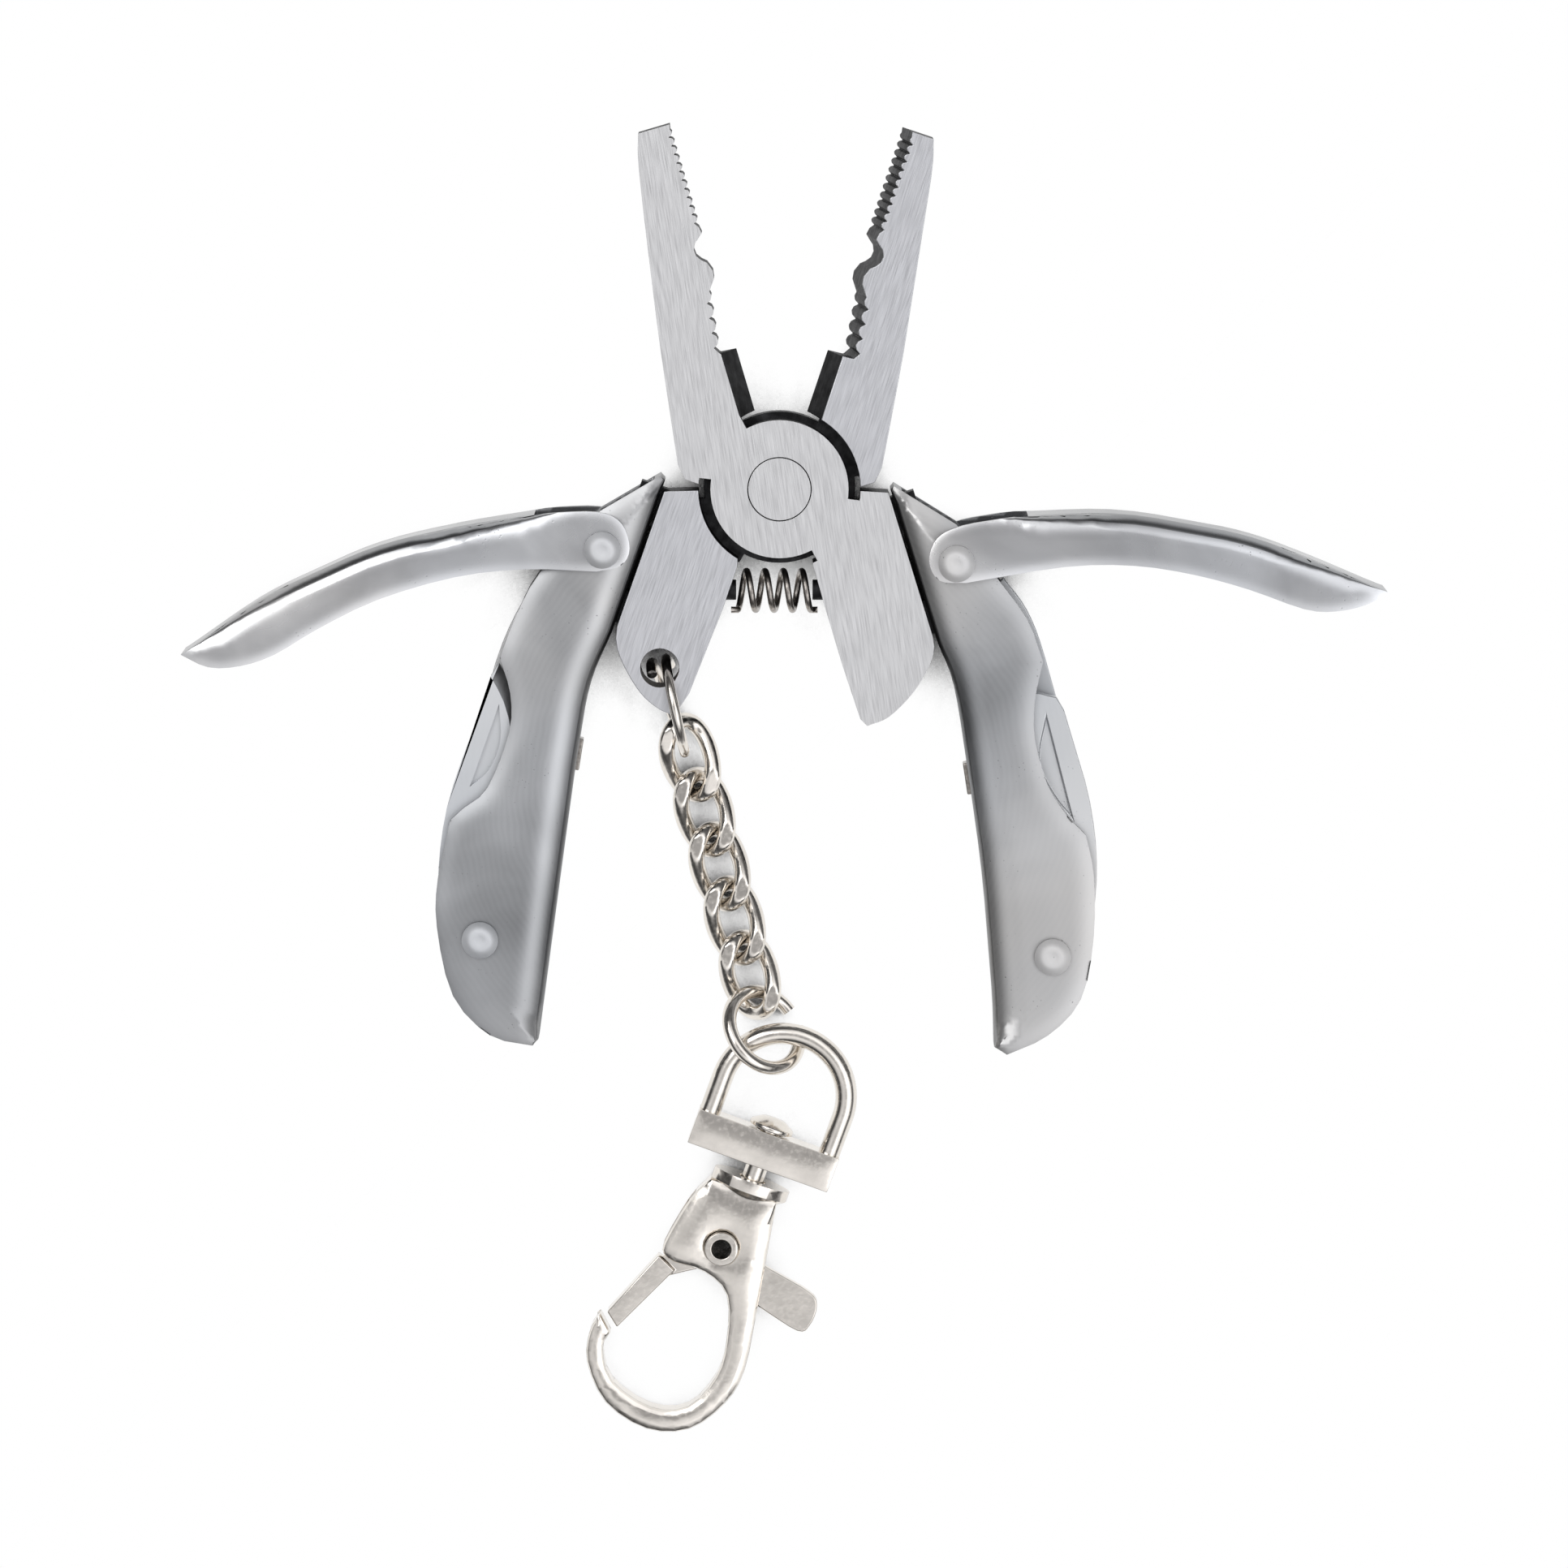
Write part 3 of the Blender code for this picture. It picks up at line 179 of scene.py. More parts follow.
class ShapeSettings(bpy.types.PropertyGroup):
    """Sizes of the finished edges and wires. Short edges hold a rounding below its size here."""

    plate_round: length("Plate edge", "Rounding of the plier halves' edges", 0.00009)
    sheet_round: length("Sheet edge", "Rounding of the handles' and covers' edges", 0.00022)
    tool_round: length("Tool edge", "Rounding of the folding tools' edges", 0.00012)
    cast_round: length("Clasp edge", "Rounding of the cast clasp's edges", 0.00035)
    cast_reach: length("Clasp crown reach", "How far in from its outline the cast clasp is crowned", 0.0013)
    cast_drop: length("Clasp crown drop", "How far the cast clasp's faces fall towards their outline", 0.0002)
    round_steps: IntProperty(name="Edge steps", description="Segments across a rounded edge", default=3,
                             min=1)
    wire_sides: IntProperty(name="Wire sides", description="Sides of a round wire", default=24, min=8)
    link_wire: length("Link wire", "Diameter of the chain wire", 0.00148)
    link_flat: length("Link flat", "Half height at which the links are ground flat", 0.00142)
    loop_wire: length("Loop wire", "Diameter of the key loop's wire", 0.0009)
    ring_wire: length("Ring wire", "Diameter of the jump ring's wire", 0.00125)
    d_ring_wire: length("D-ring wire", "Diameter of the D-ring's loop", 0.0019)
    spring_wire: length("Spring wire", "Diameter of the jaw spring's wire", 0.00057)
    rivet_crown: length("Rivet crown", "Height of the dome on a rivet head", 0.00045)
    rivet_dimple: length("Rivet dimple", "Depth of the setting mark on a rivet head", 0.00006)


class FinishSettings(bpy.types.PropertyGroup):
    """Colours of the metals."""

    plate: colour("Plier plate", "Brushed faces of the plier halves", (0.74, 0.74, 0.745))
    # The rear plate is a darker copy of the plier plate, as painted shade on the half that lies behind.
    shaded_rear_plate: colour("Rear plate", "Brushed faces of the half that lies behind", (0.66, 0.665, 0.69))
    # The dark flank is painted shade: near black on the side faces and in the recesses of the plier halves.
    flank: colour("Dark flank", "Blackened side faces of the plier halves", (0.022, 0.022, 0.023))
    sheet: colour("Handle sheet", "Tumbled handles", (0.5, 0.51, 0.525))
    cover: colour("Cover sheet", "Polished covers", (0.7, 0.715, 0.74))
    rivet: colour("Rivet metal", "Pale rivets", (0.78, 0.795, 0.82))
    blade: colour("Blade steel", "Folding tools", (0.68, 0.7, 0.725))
    spring: colour("Spring steel", "Springs", (0.42, 0.39, 0.36))
    nickel: colour("Nickel plate", "Chain and clasp", (0.83, 0.785, 0.725))


class StageSettings(bpy.types.PropertyGroup):
    """Floor, light and camera."""

    floor: colour("Floor", "Colour of the table", (0.95, 0.95, 0.95))
    floor_size: length("Floor size", "Side of the square table", 2.4)
    key: FloatProperty(name="Key light", description="Power of the large soft light", subtype="POWER",
                       default=1.6)
    fill: FloatProperty(name="Fill light", description="Power of the light on the other side",
                        subtype="POWER", default=0.7)
    shadow_reach: length("Shadow reach", "How far round the tool the table keeps its shadow", 0.006)
    distance: length("Camera distance", "From the camera to the middle of the tool", 0.9)
    width: length("View width", "Width of the view at the tool", 0.138)
    tilt: FloatProperty(name="Camera tilt", description="Lean of the camera towards the jaw tips",
                        subtype="ANGLE", default=math.radians(5.5))


def settings():
    scene = bpy.context.scene
    return scene.pliers_shape, scene.pliers_finish, scene.pliers_stage


# Shader groups and materials


def add(tree, kind, **values):
    """A node with its properties set."""
    node = tree.nodes.new(kind)
    for key, value in values.items():
        setattr(node, key, value)
    return node


def set_inputs(node, **values):
    """Sets a node's inputs by their names."""
    for key, value in values.items():
        node.inputs[key.replace("_", " ")].default_value = value


def sum_of(tree, operation, *values):
    """The result of a sum on up to three values, each a socket or a number."""
    node = add(tree, "ShaderNodeMath", operation=operation)
    for socket, value in zip(node.inputs, values):
        if hasattr(value, "is_linked"):
            tree.links.new(value, socket)
        else:
            socket.default_value = value
    return node.outputs["Value"]


def group(name, inputs, outputs):
    """A new shader group with its two end nodes."""
    tree = bpy.data.node_groups.new(name, "ShaderNodeTree")
    for kind, label, default in inputs:
        socket = tree.interface.new_socket(label, in_out="INPUT", socket_type=kind)
        if default is not None:
            socket.default_value = default
    for label in outputs:
        tree.interface.new_socket(label, in_out="OUTPUT", socket_type="NodeSocketFloat")
    return tree, add(tree, "NodeGroupInput"), add(tree, "NodeGroupOutput")


def spread(tree, source, low, high, out_low=0.0, out_high=1.0):
    """The source value stretched from one range to another."""
    node = add(tree, "ShaderNodeMapRange")
    set_inputs(node, From_Min=low, From_Max=high, To_Min=out_low, To_Max=out_high)
    tree.links.new(source, node.inputs["Value"])
    return node.outputs["Result"]


def noise(tree, vector, scale, detail=3.0, distortion=0.0):
    node = add(tree, "ShaderNodeTexNoise")
    set_inputs(node, Scale=scale, Detail=detail, Distortion=distortion)
    tree.links.new(vector, node.inputs["Vector"])
    return node.outputs["Fac"]


def brushed_group():
    """Long fine scratches that run at a given turn about Z."""
    inputs = [("NodeSocketVector", "Vector", None), ("NodeSocketFloat", "Turn", 0.0)]
    tree, start, end = group("Brushed lines", inputs, ("Lines", "Streaks"))
    turned = add(tree, "ShaderNodeVectorRotate", rotation_type="Z_AXIS")
    tree.links.new(start.outputs["Vector"], turned.inputs["Vector"])
    tree.links.new(start.outputs["Turn"], turned.inputs["Angle"])
    for label, stretch in (("Lines", (14000, 420, 420)), ("Streaks", (3800, 120, 120))):
        squeezed = add(tree, "ShaderNodeVectorMath", operation="MULTIPLY")
        squeezed.inputs[1].default_value = stretch
        tree.links.new(turned.outputs["Vector"], squeezed.inputs[0])
        lines = noise(tree, squeezed.outputs["Vector"], 1.0, 2.0)
        tree.links.new(spread(tree, lines, 0.3, 0.7), end.inputs[label])
    return tree


def tumbled_group():
    """Soft blotches, fine swirls and small pits of sheet that was tumbled with stones."""
    inputs = [("NodeSocketVector", "Vector", None)]
    tree, start, end = group("Tumbled marks", inputs, ("Blotch", "Swirl", "Pits"))
    vector = start.outputs["Vector"]
    link = tree.links.new
    link(spread(tree, noise(tree, vector, 62, 4.0, 0.8), 0.32, 0.68), end.inputs["Blotch"])
    rings = add(tree, "ShaderNodeTexWave", wave_type="RINGS", rings_direction="SPHERICAL")
    set_inputs(rings, Scale=620, Distortion=9, Detail_Scale=0.35)
    link(vector, rings.inputs["Vector"])
    link(rings.outputs["Fac"], end.inputs["Swirl"])
    cells = add(tree, "ShaderNodeTexVoronoi", feature="F1")
    set_inputs(cells, Scale=1900)
    link(vector, cells.inputs["Vector"])
    pits = spread(tree, cells.outputs["Distance"], 0.02, 0.16, 1.0, 0.0)
    patches = spread(tree, noise(tree, vector, 240, 2.0), 0.5, 0.62)
    link(sum_of(tree, "MULTIPLY", pits, patches), end.inputs["Pits"])
    return tree


GROUPS = {}


def shared(make):
    """A node group, made once."""
    if make not in GROUPS:
        GROUPS[make] = make()
    return GROUPS[make]


def blend_colour(tree, share, first, second):
    """A colour between two, by a share that changes over the surface."""
    node = add(tree, "ShaderNodeMix", data_type="RGBA")
    colours = [s for s in node.inputs if s.type == "RGBA"]
    for socket, value in zip(colours, (first, second)):
        if hasattr(value, "is_linked"):
            tree.links.new(value, socket)
        else:
            socket.default_value = (*value, 1)
    tree.links.new(share, node.inputs["Factor"])
    return next(s for s in node.outputs if s.type == "RGBA")


def metal(name, tint, roughness):
    """A plain metal to build a finish on: its tree, its shader and its Object coordinates."""
    material = bpy.data.materials.new(name)
    material.use_nodes = True
    tree = material.node_tree
    shader = tree.nodes["Principled BSDF"]
    set_inputs(shader, Base_Color=(*tint, 1), Metallic=1, Roughness=roughness)
    return material, tree, shader, add(tree, "ShaderNodeTexCoord").outputs["Object"]


def scaled(tint, factor):
    return tuple(min(1.0, c * factor) for c in tint)


def warmed(tint):
    return (tint[0] * 1.02, tint[1] * 0.985, tint[2] * 0.94)


def mixed(tree, *weighted):
    """The sum of several values, each times its weight."""
    total = 0.0
    for source, weight in weighted:
        total = sum_of(tree, "MULTIPLY_ADD", source, weight, total)
    return total


def bump(tree, shader, height, distance, strength=1.0):
    node = add(tree, "ShaderNodeBump")
    set_inputs(node, Distance=distance, Strength=strength)
    tree.links.new(height, node.inputs["Height"])
    tree.links.new(node.outputs["Normal"], shader.inputs["Normal"])


def flank_mask(tree):
    node = add(tree, "ShaderNodeAttribute", attribute_name="flank")
    return node.outputs["Fac"]


def brushed_plate(name, tint, dark, turn):
    """Brushed plier plate with its side faces and recesses painted near black as painted shade."""
    material, tree, shader, vector = metal(name, tint, 0.36)
    lines = add(tree, "ShaderNodeGroup", node_tree=shared(brushed_group))
    set_inputs(lines, Turn=turn)
    tree.links.new(vector, lines.inputs["Vector"])
    fine, streaks = lines.outputs["Lines"], lines.outputs["Streaks"]
    cloud = spread(tree, noise(tree, vector, 45, 2.0), 0.3, 0.7)
    tone = mixed(tree, (fine, 0.6), (streaks, 0.25), (cloud, 0.15))
    face = blend_colour(tree, tone, scaled(tint, 0.9), scaled(tint, 1.07))
    # Painted shade: side faces and recesses go near black, mottled at random.
    grime = spread(tree, noise(tree, vector, 900, 4.0), 0.35, 0.75)
    painted_flank_shade = blend_colour(tree, grime, dark, scaled(dark, 3.2))
    flank = flank_mask(tree)
    tree.links.new(blend_colour(tree, flank, face, painted_flank_shade), shader.inputs["Base Color"])
    rough = mixed(tree, (fine, 0.14), (flank, 0.22))
    tree.links.new(spread(tree, rough, 0, 1, 0.3, 1.3), shader.inputs["Roughness"])
    bump(tree, shader, mixed(tree, (fine, 0.7), (streaks, 0.3)), 0.000006, 0.4)
    return material


def tumbled_sheet(name, tint, roughness, depth, dark=0.6, swirls=1.0):
    """Sheet steel with soft blotches, swirls and pits, and painted shade on its side faces and in its
    recesses.
    """
    material, tree, shader, vector = metal(name, tint, roughness)
    marks = add(tree, "ShaderNodeGroup", node_tree=shared(tumbled_group))
    tree.links.new(vector, marks.inputs["Vector"])
    blotch, swirl, pits = (marks.outputs[k] for k in ("Blotch", "Swirl", "Pits"))
    cloud = spread(tree, noise(tree, vector, 48, 2.0, 0.6), 0.36, 0.64)
    tone = mixed(tree, (blotch, 0.3), (cloud, 0.6), (swirl, 0.035 * swirls))
    warmth = spread(tree, noise(tree, vector, 38, 2.0), 0.4, 0.65)
    light = blend_colour(tree, warmth, scaled(tint, 1 + 0.3 * depth), warmed(scaled(tint, 1 + 0.26 * depth)))
    face = blend_colour(tree, tone, scaled(tint, 1 - 0.5 * depth), light)
    # The pits are painted darker, as painted shade in them.
    spotted = blend_colour(tree, pits, face, scaled(tint, 0.4))
    # Painted shade: side faces and recesses are darkened by the share dark.
    flank = flank_mask(tree)
    shade = mixed(tree, (flank, dark))
    tree.links.new(blend_colour(tree, shade, spotted, scaled(tint, 0.2)), shader.inputs["Base Color"])
    rough = mixed(tree, (blotch, 0.15), (swirl, 0.02 * swirls))
    tree.links.new(spread(tree, rough, 0, 0.17, roughness, roughness + 0.14), shader.inputs["Roughness"])
    bump(tree, shader, mixed(tree, (swirl, 0.03 * swirls), (pits, -1.0), (blotch, 1.6)), 0.00002, 0.45)
    return material


def nickel_plate(name, tint, roughness):
    """Warm polished plating with faint waves and fine wear."""
    material, tree, shader, vector = metal(name, tint, roughness)
    waves = spread(tree, noise(tree, vector, 420, 2.0), 0.3, 0.7)
    wear = spread(tree, noise(tree, vector, 2600, 3.0), 0.45, 0.7)
    tone = mixed(tree, (waves, 0.7), (wear, 0.3))
    face = blend_colour(tree, tone, scaled(tint, 0.9), scaled(tint, 1.08))
    tree.links.new(face, shader.inputs["Base Color"])
    tree.links.new(spread(tree, wear, 0, 1, roughness, roughness + 0.12), shader.inputs["Roughness"])
    bump(tree, shader, mixed(tree, (waves, 1.0), (wear, 0.15)), 0.00003, 0.35)
    return material


def oiled_wire(name, tint, roughness):
    """Drawn spring wire, its grain painted darker in the hollows of its bump, as painted shade."""
    material, tree, shader, vector = metal(name, tint, roughness)
    grain = spread(tree, noise(tree, vector, 3200, 3.0), 0.35, 0.7)
    # Painted shade: the grain's colour is darker where its bump is low.
    face = blend_colour(tree, grain, scaled(tint, 0.7), scaled(tint, 1.2))
    tree.links.new(face, shader.inputs["Base Color"])
    bump(tree, shader, grain, 0.000015, 0.3)
    return material


MATERIALS = {}


def finish(slot):
    """The material of a record slot, made once."""
    if slot in MATERIALS:
        return MATERIALS[slot]
    _, tints, _ = settings()
    # dark is the near-black painted shade of the plier halves' side faces and recesses; for a sheet, the
    # number after its depth is its share of painted shade there, and handles keep the default.
    dark = tints.flank
    makers = {
        "plier_steel": lambda: brushed_plate("front plate", tints.plate, dark, math.radians(-9)),
        # The rear half's plate is the darker copy, as painted shade.
        "shaded_rear_plier_steel": lambda: brushed_plate("shaded rear plate", tints.shaded_rear_plate, dark, math.radians(18)),
        "handle_sheet": lambda: tumbled_sheet("tumbled handle sheet", tints.sheet, 0.3, 0.75),
        "cover_sheet": lambda: tumbled_sheet("polished cover sheet", tints.cover, 0.2, 0.7, 0.6, 0.1),
        "rivet_metal": lambda: tumbled_sheet("pale rivet metal", tints.rivet, 0.55, 0.2, 0.0),
        "blade_steel": lambda: tumbled_sheet("satin blade steel", tints.blade, 0.36, 0.25, 0.05),
        "spring_steel": lambda: oiled_wire("oiled spring wire", tints.spring, 0.28),
        "nickel_plate": lambda: nickel_plate("warm nickel plate", tints.nickel, 0.13),
    }
    MATERIALS[slot] = makers[slot]()
    return MATERIALS[slot]


# Meshes


def mark_flanks(mesh):
    """A face value that is 1 on side faces and recesses, away from the two outer faces, where the finishes
    paint shade.
    """
    levels = [v.co.z for v in mesh.vertices]
    low, high = min(levels), max(levels)
    values = mesh.attributes.new("flank", "FLOAT", "FACE")
    for face in mesh.polygons:
        depth = min(high - face.center.z, face.center.z - low)
        values.data[face.index].value = 1.0 if depth > RIM_DEPTH else 0.0


def new_object(name, data):
    """A new object in the scene."""
    obj = bpy.data.objects.new(name, data)
    bpy.context.scene.collection.objects.link(obj)
    return obj


def place_piece(name, mesh, node, slot, material=None):
    """A finished piece on the body of the node it stands for."""
    mesh.materials.clear()
    mesh.materials.append(material or finish(slot))
    obj = new_object(name, mesh)
    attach(obj, BODY_OF[node])
    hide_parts(node)
    return obj


def evaluated_mesh(obj):
    """The mesh of an object with its modifiers applied. The object is removed."""
    bpy.context.view_layer.update()
    mesh = bpy.data.meshes.new_from_object(obj.evaluated_get(bpy.context.evaluated_depsgraph_get()))
    bpy.data.objects.remove(obj)
    return mesh


def solid_copy(node, keep_below=None, weld=None):
    """The node's mesh with its triangles merged into plain faces.

    Given a place and a level in it, what lies above is cut off. Edges shorter than weld are closed up.
    """
    bm = bmesh.new()
    bm.from_mesh(NODES[node].data)
    bmesh.ops.remove_doubles(bm, verts=bm.verts, dist=MERGE)
    if keep_below:
        place, level = keep_below
        everything = bm.verts[:] + bm.edges[:] + bm.faces[:]
        bmesh.ops.bisect_plane(bm, geom=everything, dist=1e-7, clear_outer=True,
                               plane_co=place @ Vector((0, level - CUT_BELOW, 0)),
                               plane_no=place.to_3x3() @ Vector((0, 1, 0)))
        bmesh.ops.triangle_fill(bm, use_beauty=True, edges=[e for e in bm.edges if e.is_boundary])
    if weld:
        bmesh.ops.remove_doubles(bm, verts=bm.verts, dist=weld)
    bmesh.ops.dissolve_limit(bm, angle_limit=math.radians(1.0), verts=bm.verts, edges=bm.edges)
    mesh = bpy.data.meshes.new(node)
    bm.to_mesh(mesh)
    bm.free()
    return mesh


def cut_grid(bm, step):
    """Cuts the mesh along even lines in X and Y."""
    for axis in (0, 1):
        places = [v.co[axis] for v in bm.verts]
        normal = Vector((1 - axis, axis, 0))
        for k in range(math.ceil(min(places) / step), math.ceil(max(places) / step)):
            everything = bm.verts[:] + bm.edges[:] + bm.faces[:]
            bmesh.ops.bisect_plane(bm, geom=everything, dist=1e-6, plane_no=normal,
                                   plane_co=normal * (k + GRID_SHIFT) * step)


def rim_points(faces, step):
    """Points along the outline of a set of faces."""
    inside = set(faces)
    points = []
    for face in faces:
        for edge in face.edges:
            if all(other in inside for other in edge.link_faces):
                continue
            first, last = (v.co.xy for v in edge.verts)
            count = max(1, int((last - first).length / step))
            points += [first.lerp(last, k / count) for k in range(count + 1)]
    return points


def main_level(bm, sign):
    """The level with most area that faces up, or down, and its faces."""
    levels = {}
    for face in bm.faces:
        if face.normal.z * sign > 0.99:
            levels.setdefault(round(face.calc_center_median().z, 5), []).append(face)
    level = max(levels, key=lambda z: sum(f.calc_area() for f in levels[z]))
    return level, levels[level]


def search_tree(points):
    """A tree that finds the nearest points in plan."""
    tree = KDTree(len(points))
    for k, point in enumerate(points):
        tree.insert((point.x, point.y, 0), k)
    tree.balance()
    return tree


def crown(mesh, reach, drop):
    """Lets the two outer faces fall off gently towards their outline."""
    bm = bmesh.new()
    bm.from_mesh(mesh)
    cut_grid(bm, GRID)
    bm.normal_update()
    for sign in (1, -1):
        level, faces = main_level(bm, sign)
        tree = search_tree(rim_points(faces, GRID / 3))
        flat = {v for f in faces for v in f.verts}
        for vert in bm.verts:
            depth = (level - vert.co.z) * sign
            if not -1e-5 < depth < CROWN_DEPTH:
                continue
            gap = tree.find((vert.co.x, vert.co.y, 0))[2]
            if vert not in flat:
                gap = 0.0 if gap < OUTLINE_REACH else reach
            vert.co.z -= sign * drop * (1 - min(1.0, gap / reach)) ** 2 * (1 - depth / CROWN_DEPTH)
    bm.to_mesh(mesh)
    bm.free()


def outer_faces(mesh, sign):
    """The faces of a sheet piece that look up, or down, on its outside."""
    levels = [v.co.z for v in mesh.vertices]
    middle = (min(levels) + max(levels)) / 2
    return [f for f in mesh.polygons if f.normal.z * sign > 0.25 and (f.center.z - middle) * sign > 0]


def rim_normals(mesh, faces, step):
    """Points along the outline of a set of faces, each with its outward direction and its level."""
    owners = {}
    for face in faces:
        for key in face.edge_keys:
            owners.setdefault(key, []).append(face)
    found = []
    for (a, b), sides in owners.items():
        if len(sides) > 1:
            continue
        first, last = mesh.vertices[a].co, mesh.vertices[b].co
        along = (last - first).xy
        out = Vector((along.y, -along.x)).normalized()
        if out.dot(sides[0].center.xy - first.xy) > 0:
            out.negate()
        count = max(1, int(along.length / step))
        found += [(first.lerp(last, k / count), out) for k in range(count + 1)]
    return found


def lean_at(level, near, sign, bend, edge):
    """The normal of a drawn sheet at a level below its top, and its share of the whole fall.

    Near holds the depth, the outward direction and the distance of the nearest points of the outline.
    """
    depth = sum(below for below, _, _ in near) / len(near)
    bent = min(1.0, depth / BENT_DEPTH)
    sunk = max(0.0, level) / max(depth, BENT_DEPTH)
    tilt, reach = (cut + bent * (folded - cut) for cut, folded in zip(edge, bend))
    share = 1 - min(1.0, near[0][2] / reach)
    lean = max(tilt * share ** LEAN_POWER, math.acos(1 - min(1.0, SINK_LEAN * sunk)))
    out = sum((way for _, way, _ in near), Vector((0, 0))).normalized()
    return Vector((*(out * math.sin(lean)), sign * math.cos(lean))), share ** 2


def draw_over(mesh, bend, edge, drop, pins, pin_reach):
    """Draws a sheet's outer faces softly over their outline, most at a bent edge, but not round the pins."""
    normals = [Vector(n.vector) for n in mesh.corner_normals]
    for sign in (1, -1):
        faces = outer_faces(mesh, sign)
        rim = [(point, out) for point, out in rim_normals(mesh, faces, GRID / 4)
               if all((point - pin).xy.length > pin_reach for pin in pins)]
        top = max(point.z * sign for point, _ in rim)
        tree = search_tree([point for point, _ in rim])
        leaning = {}
        for index in {v for face in faces for v in face.vertices}:
            place = mesh.vertices[index].co
            near = [(top - rim[k][0].z * sign, rim[k][1], gap)
                    for _, k, gap in tree.find_n((*place.xy, 0), NEAR_POINTS)]
            leaning[index] = lean_at(top - place.z * sign, near, sign, bend, edge)
        for index, (_, share) in leaning.items():
            mesh.vertices[index].co.z -= sign * drop * share
        for corner in (k for face in faces for k in face.loop_indices):
            normals[corner] = leaning[mesh.loops[corner].vertex_index][0]
    mesh.normals_split_custom_set(normals)


def rounded_piece(node, slot, width, material=None, angle=EDGE_ANGLE, crowned=None, place=Matrix(),
                  keep_below=None, drawn=None, weld=None, clamp=True):
    """The node's solid with rounded edges and even shading.

    With clamp the shortest edges hold the rounding back, often far below the width.
    """
    shape, _, _ = settings()
    obj = new_object(node, solid_copy(node, keep_below, weld))
    edge = obj.modifiers.new("rounded edge", "BEVEL")
    edge.width = width
    edge.segments = shape.round_steps
    edge.limit_method = "ANGLE"
    edge.angle_limit = math.radians(angle)
    edge.use_clamp_overlap = clamp
    mesh = evaluated_mesh(obj)
    mark_flanks(mesh)
    if crowned:
        mesh.transform(place.inverted())
        crown(mesh, *crowned)
        mesh.transform(place)
    if drawn:
        bm = bmesh.new()
        bm.from_mesh(mesh)
        cut_grid(bm, FINE_GRID)
        bm.to_mesh(mesh)
        bm.free()
    mesh.shade_smooth()
    mesh.set_sharp_from_angle(angle=math.radians(angle))
    flat = new_object("even", mesh)
    even = flat.modifiers.new("even shading", "WEIGHTED_NORMAL")
    even.keep_sharp = True
    mesh = evaluated_mesh(flat)
    if drawn:
        draw_over(mesh, *drawn)
    return place_piece(f"{node}_finish", mesh, node, slot, material)


def node_tree(name, inputs):
    """A Geometry Nodes tree with named inputs."""
    tree = bpy.data.node_groups.new(name, "GeometryNodeTree")
    tree.is_modifier = True
    for kind, label in inputs:
        tree.interface.new_socket(label, in_out="INPUT", socket_type=kind)
    tree.interface.new_socket("Geometry", in_out="OUTPUT", socket_type="NodeSocketGeometry")
    return tree, add(tree, "NodeGroupInput"), add(tree, "NodeGroupOutput")


def end_tree(tree, start, end, geometry):
    """Closes a tree with smooth shading, realized instances and the material."""
    for kind in ("GeometryNodeSetShadeSmooth", "GeometryNodeRealizeInstances", "GeometryNodeSetMaterial"):
        node = add(tree, kind)
        tree.links.new(geometry, node.inputs["Geometry"])
        geometry = node.outputs["Geometry"]
    tree.links.new(start.outputs["Material"], node.inputs["Material"])
    tree.links.new(geometry, end.inputs["Geometry"])


def wire_tree():
    """A round wire along a curve, ground flat above and below a given level."""
    tree, start, end = node_tree("Wire along a path", [
        ("NodeSocketGeometry", "Geometry"), ("NodeSocketFloat", "Radius"), ("NodeSocketInt", "Sides"),
        ("NodeSocketFloat", "Flat level"), ("NodeSocketMaterial", "Material")])
    profile = add(tree, "GeometryNodeCurvePrimitiveCircle")
    sweep = add(tree, "GeometryNodeCurveToMesh")
    set_inputs(sweep, Fill_Caps=True)
    link = tree.links.new
    link(start.outputs["Sides"], profile.inputs["Resolution"])
    link(start.outputs["Radius"], profile.inputs["Radius"])
    link(start.outputs["Geometry"], sweep.inputs["Curve"])
    link(profile.outputs["Curve"], sweep.inputs["Profile Curve"])
    position = add(tree, "GeometryNodeInputPosition")
    parts = add(tree, "ShaderNodeSeparateXYZ")
    link(position.outputs["Position"], parts.inputs["Vector"])
    level = start.outputs["Flat level"]
    upper = sum_of(tree, "MINIMUM", parts.outputs["Z"], level)
    both = sum_of(tree, "MAXIMUM", upper, sum_of(tree, "MULTIPLY", level, -1.0))
    joined = add(tree, "ShaderNodeCombineXYZ")
    link(parts.outputs["X"], joined.inputs["X"])
    link(parts.outputs["Y"], joined.inputs["Y"])
    link(both, joined.inputs["Z"])
    move = add(tree, "GeometryNodeSetPosition")
    link(sweep.outputs["Mesh"], move.inputs["Geometry"])
    link(joined.outputs["Vector"], move.inputs["Position"])
    end_tree(tree, start, end, move.outputs["Geometry"])
    return tree


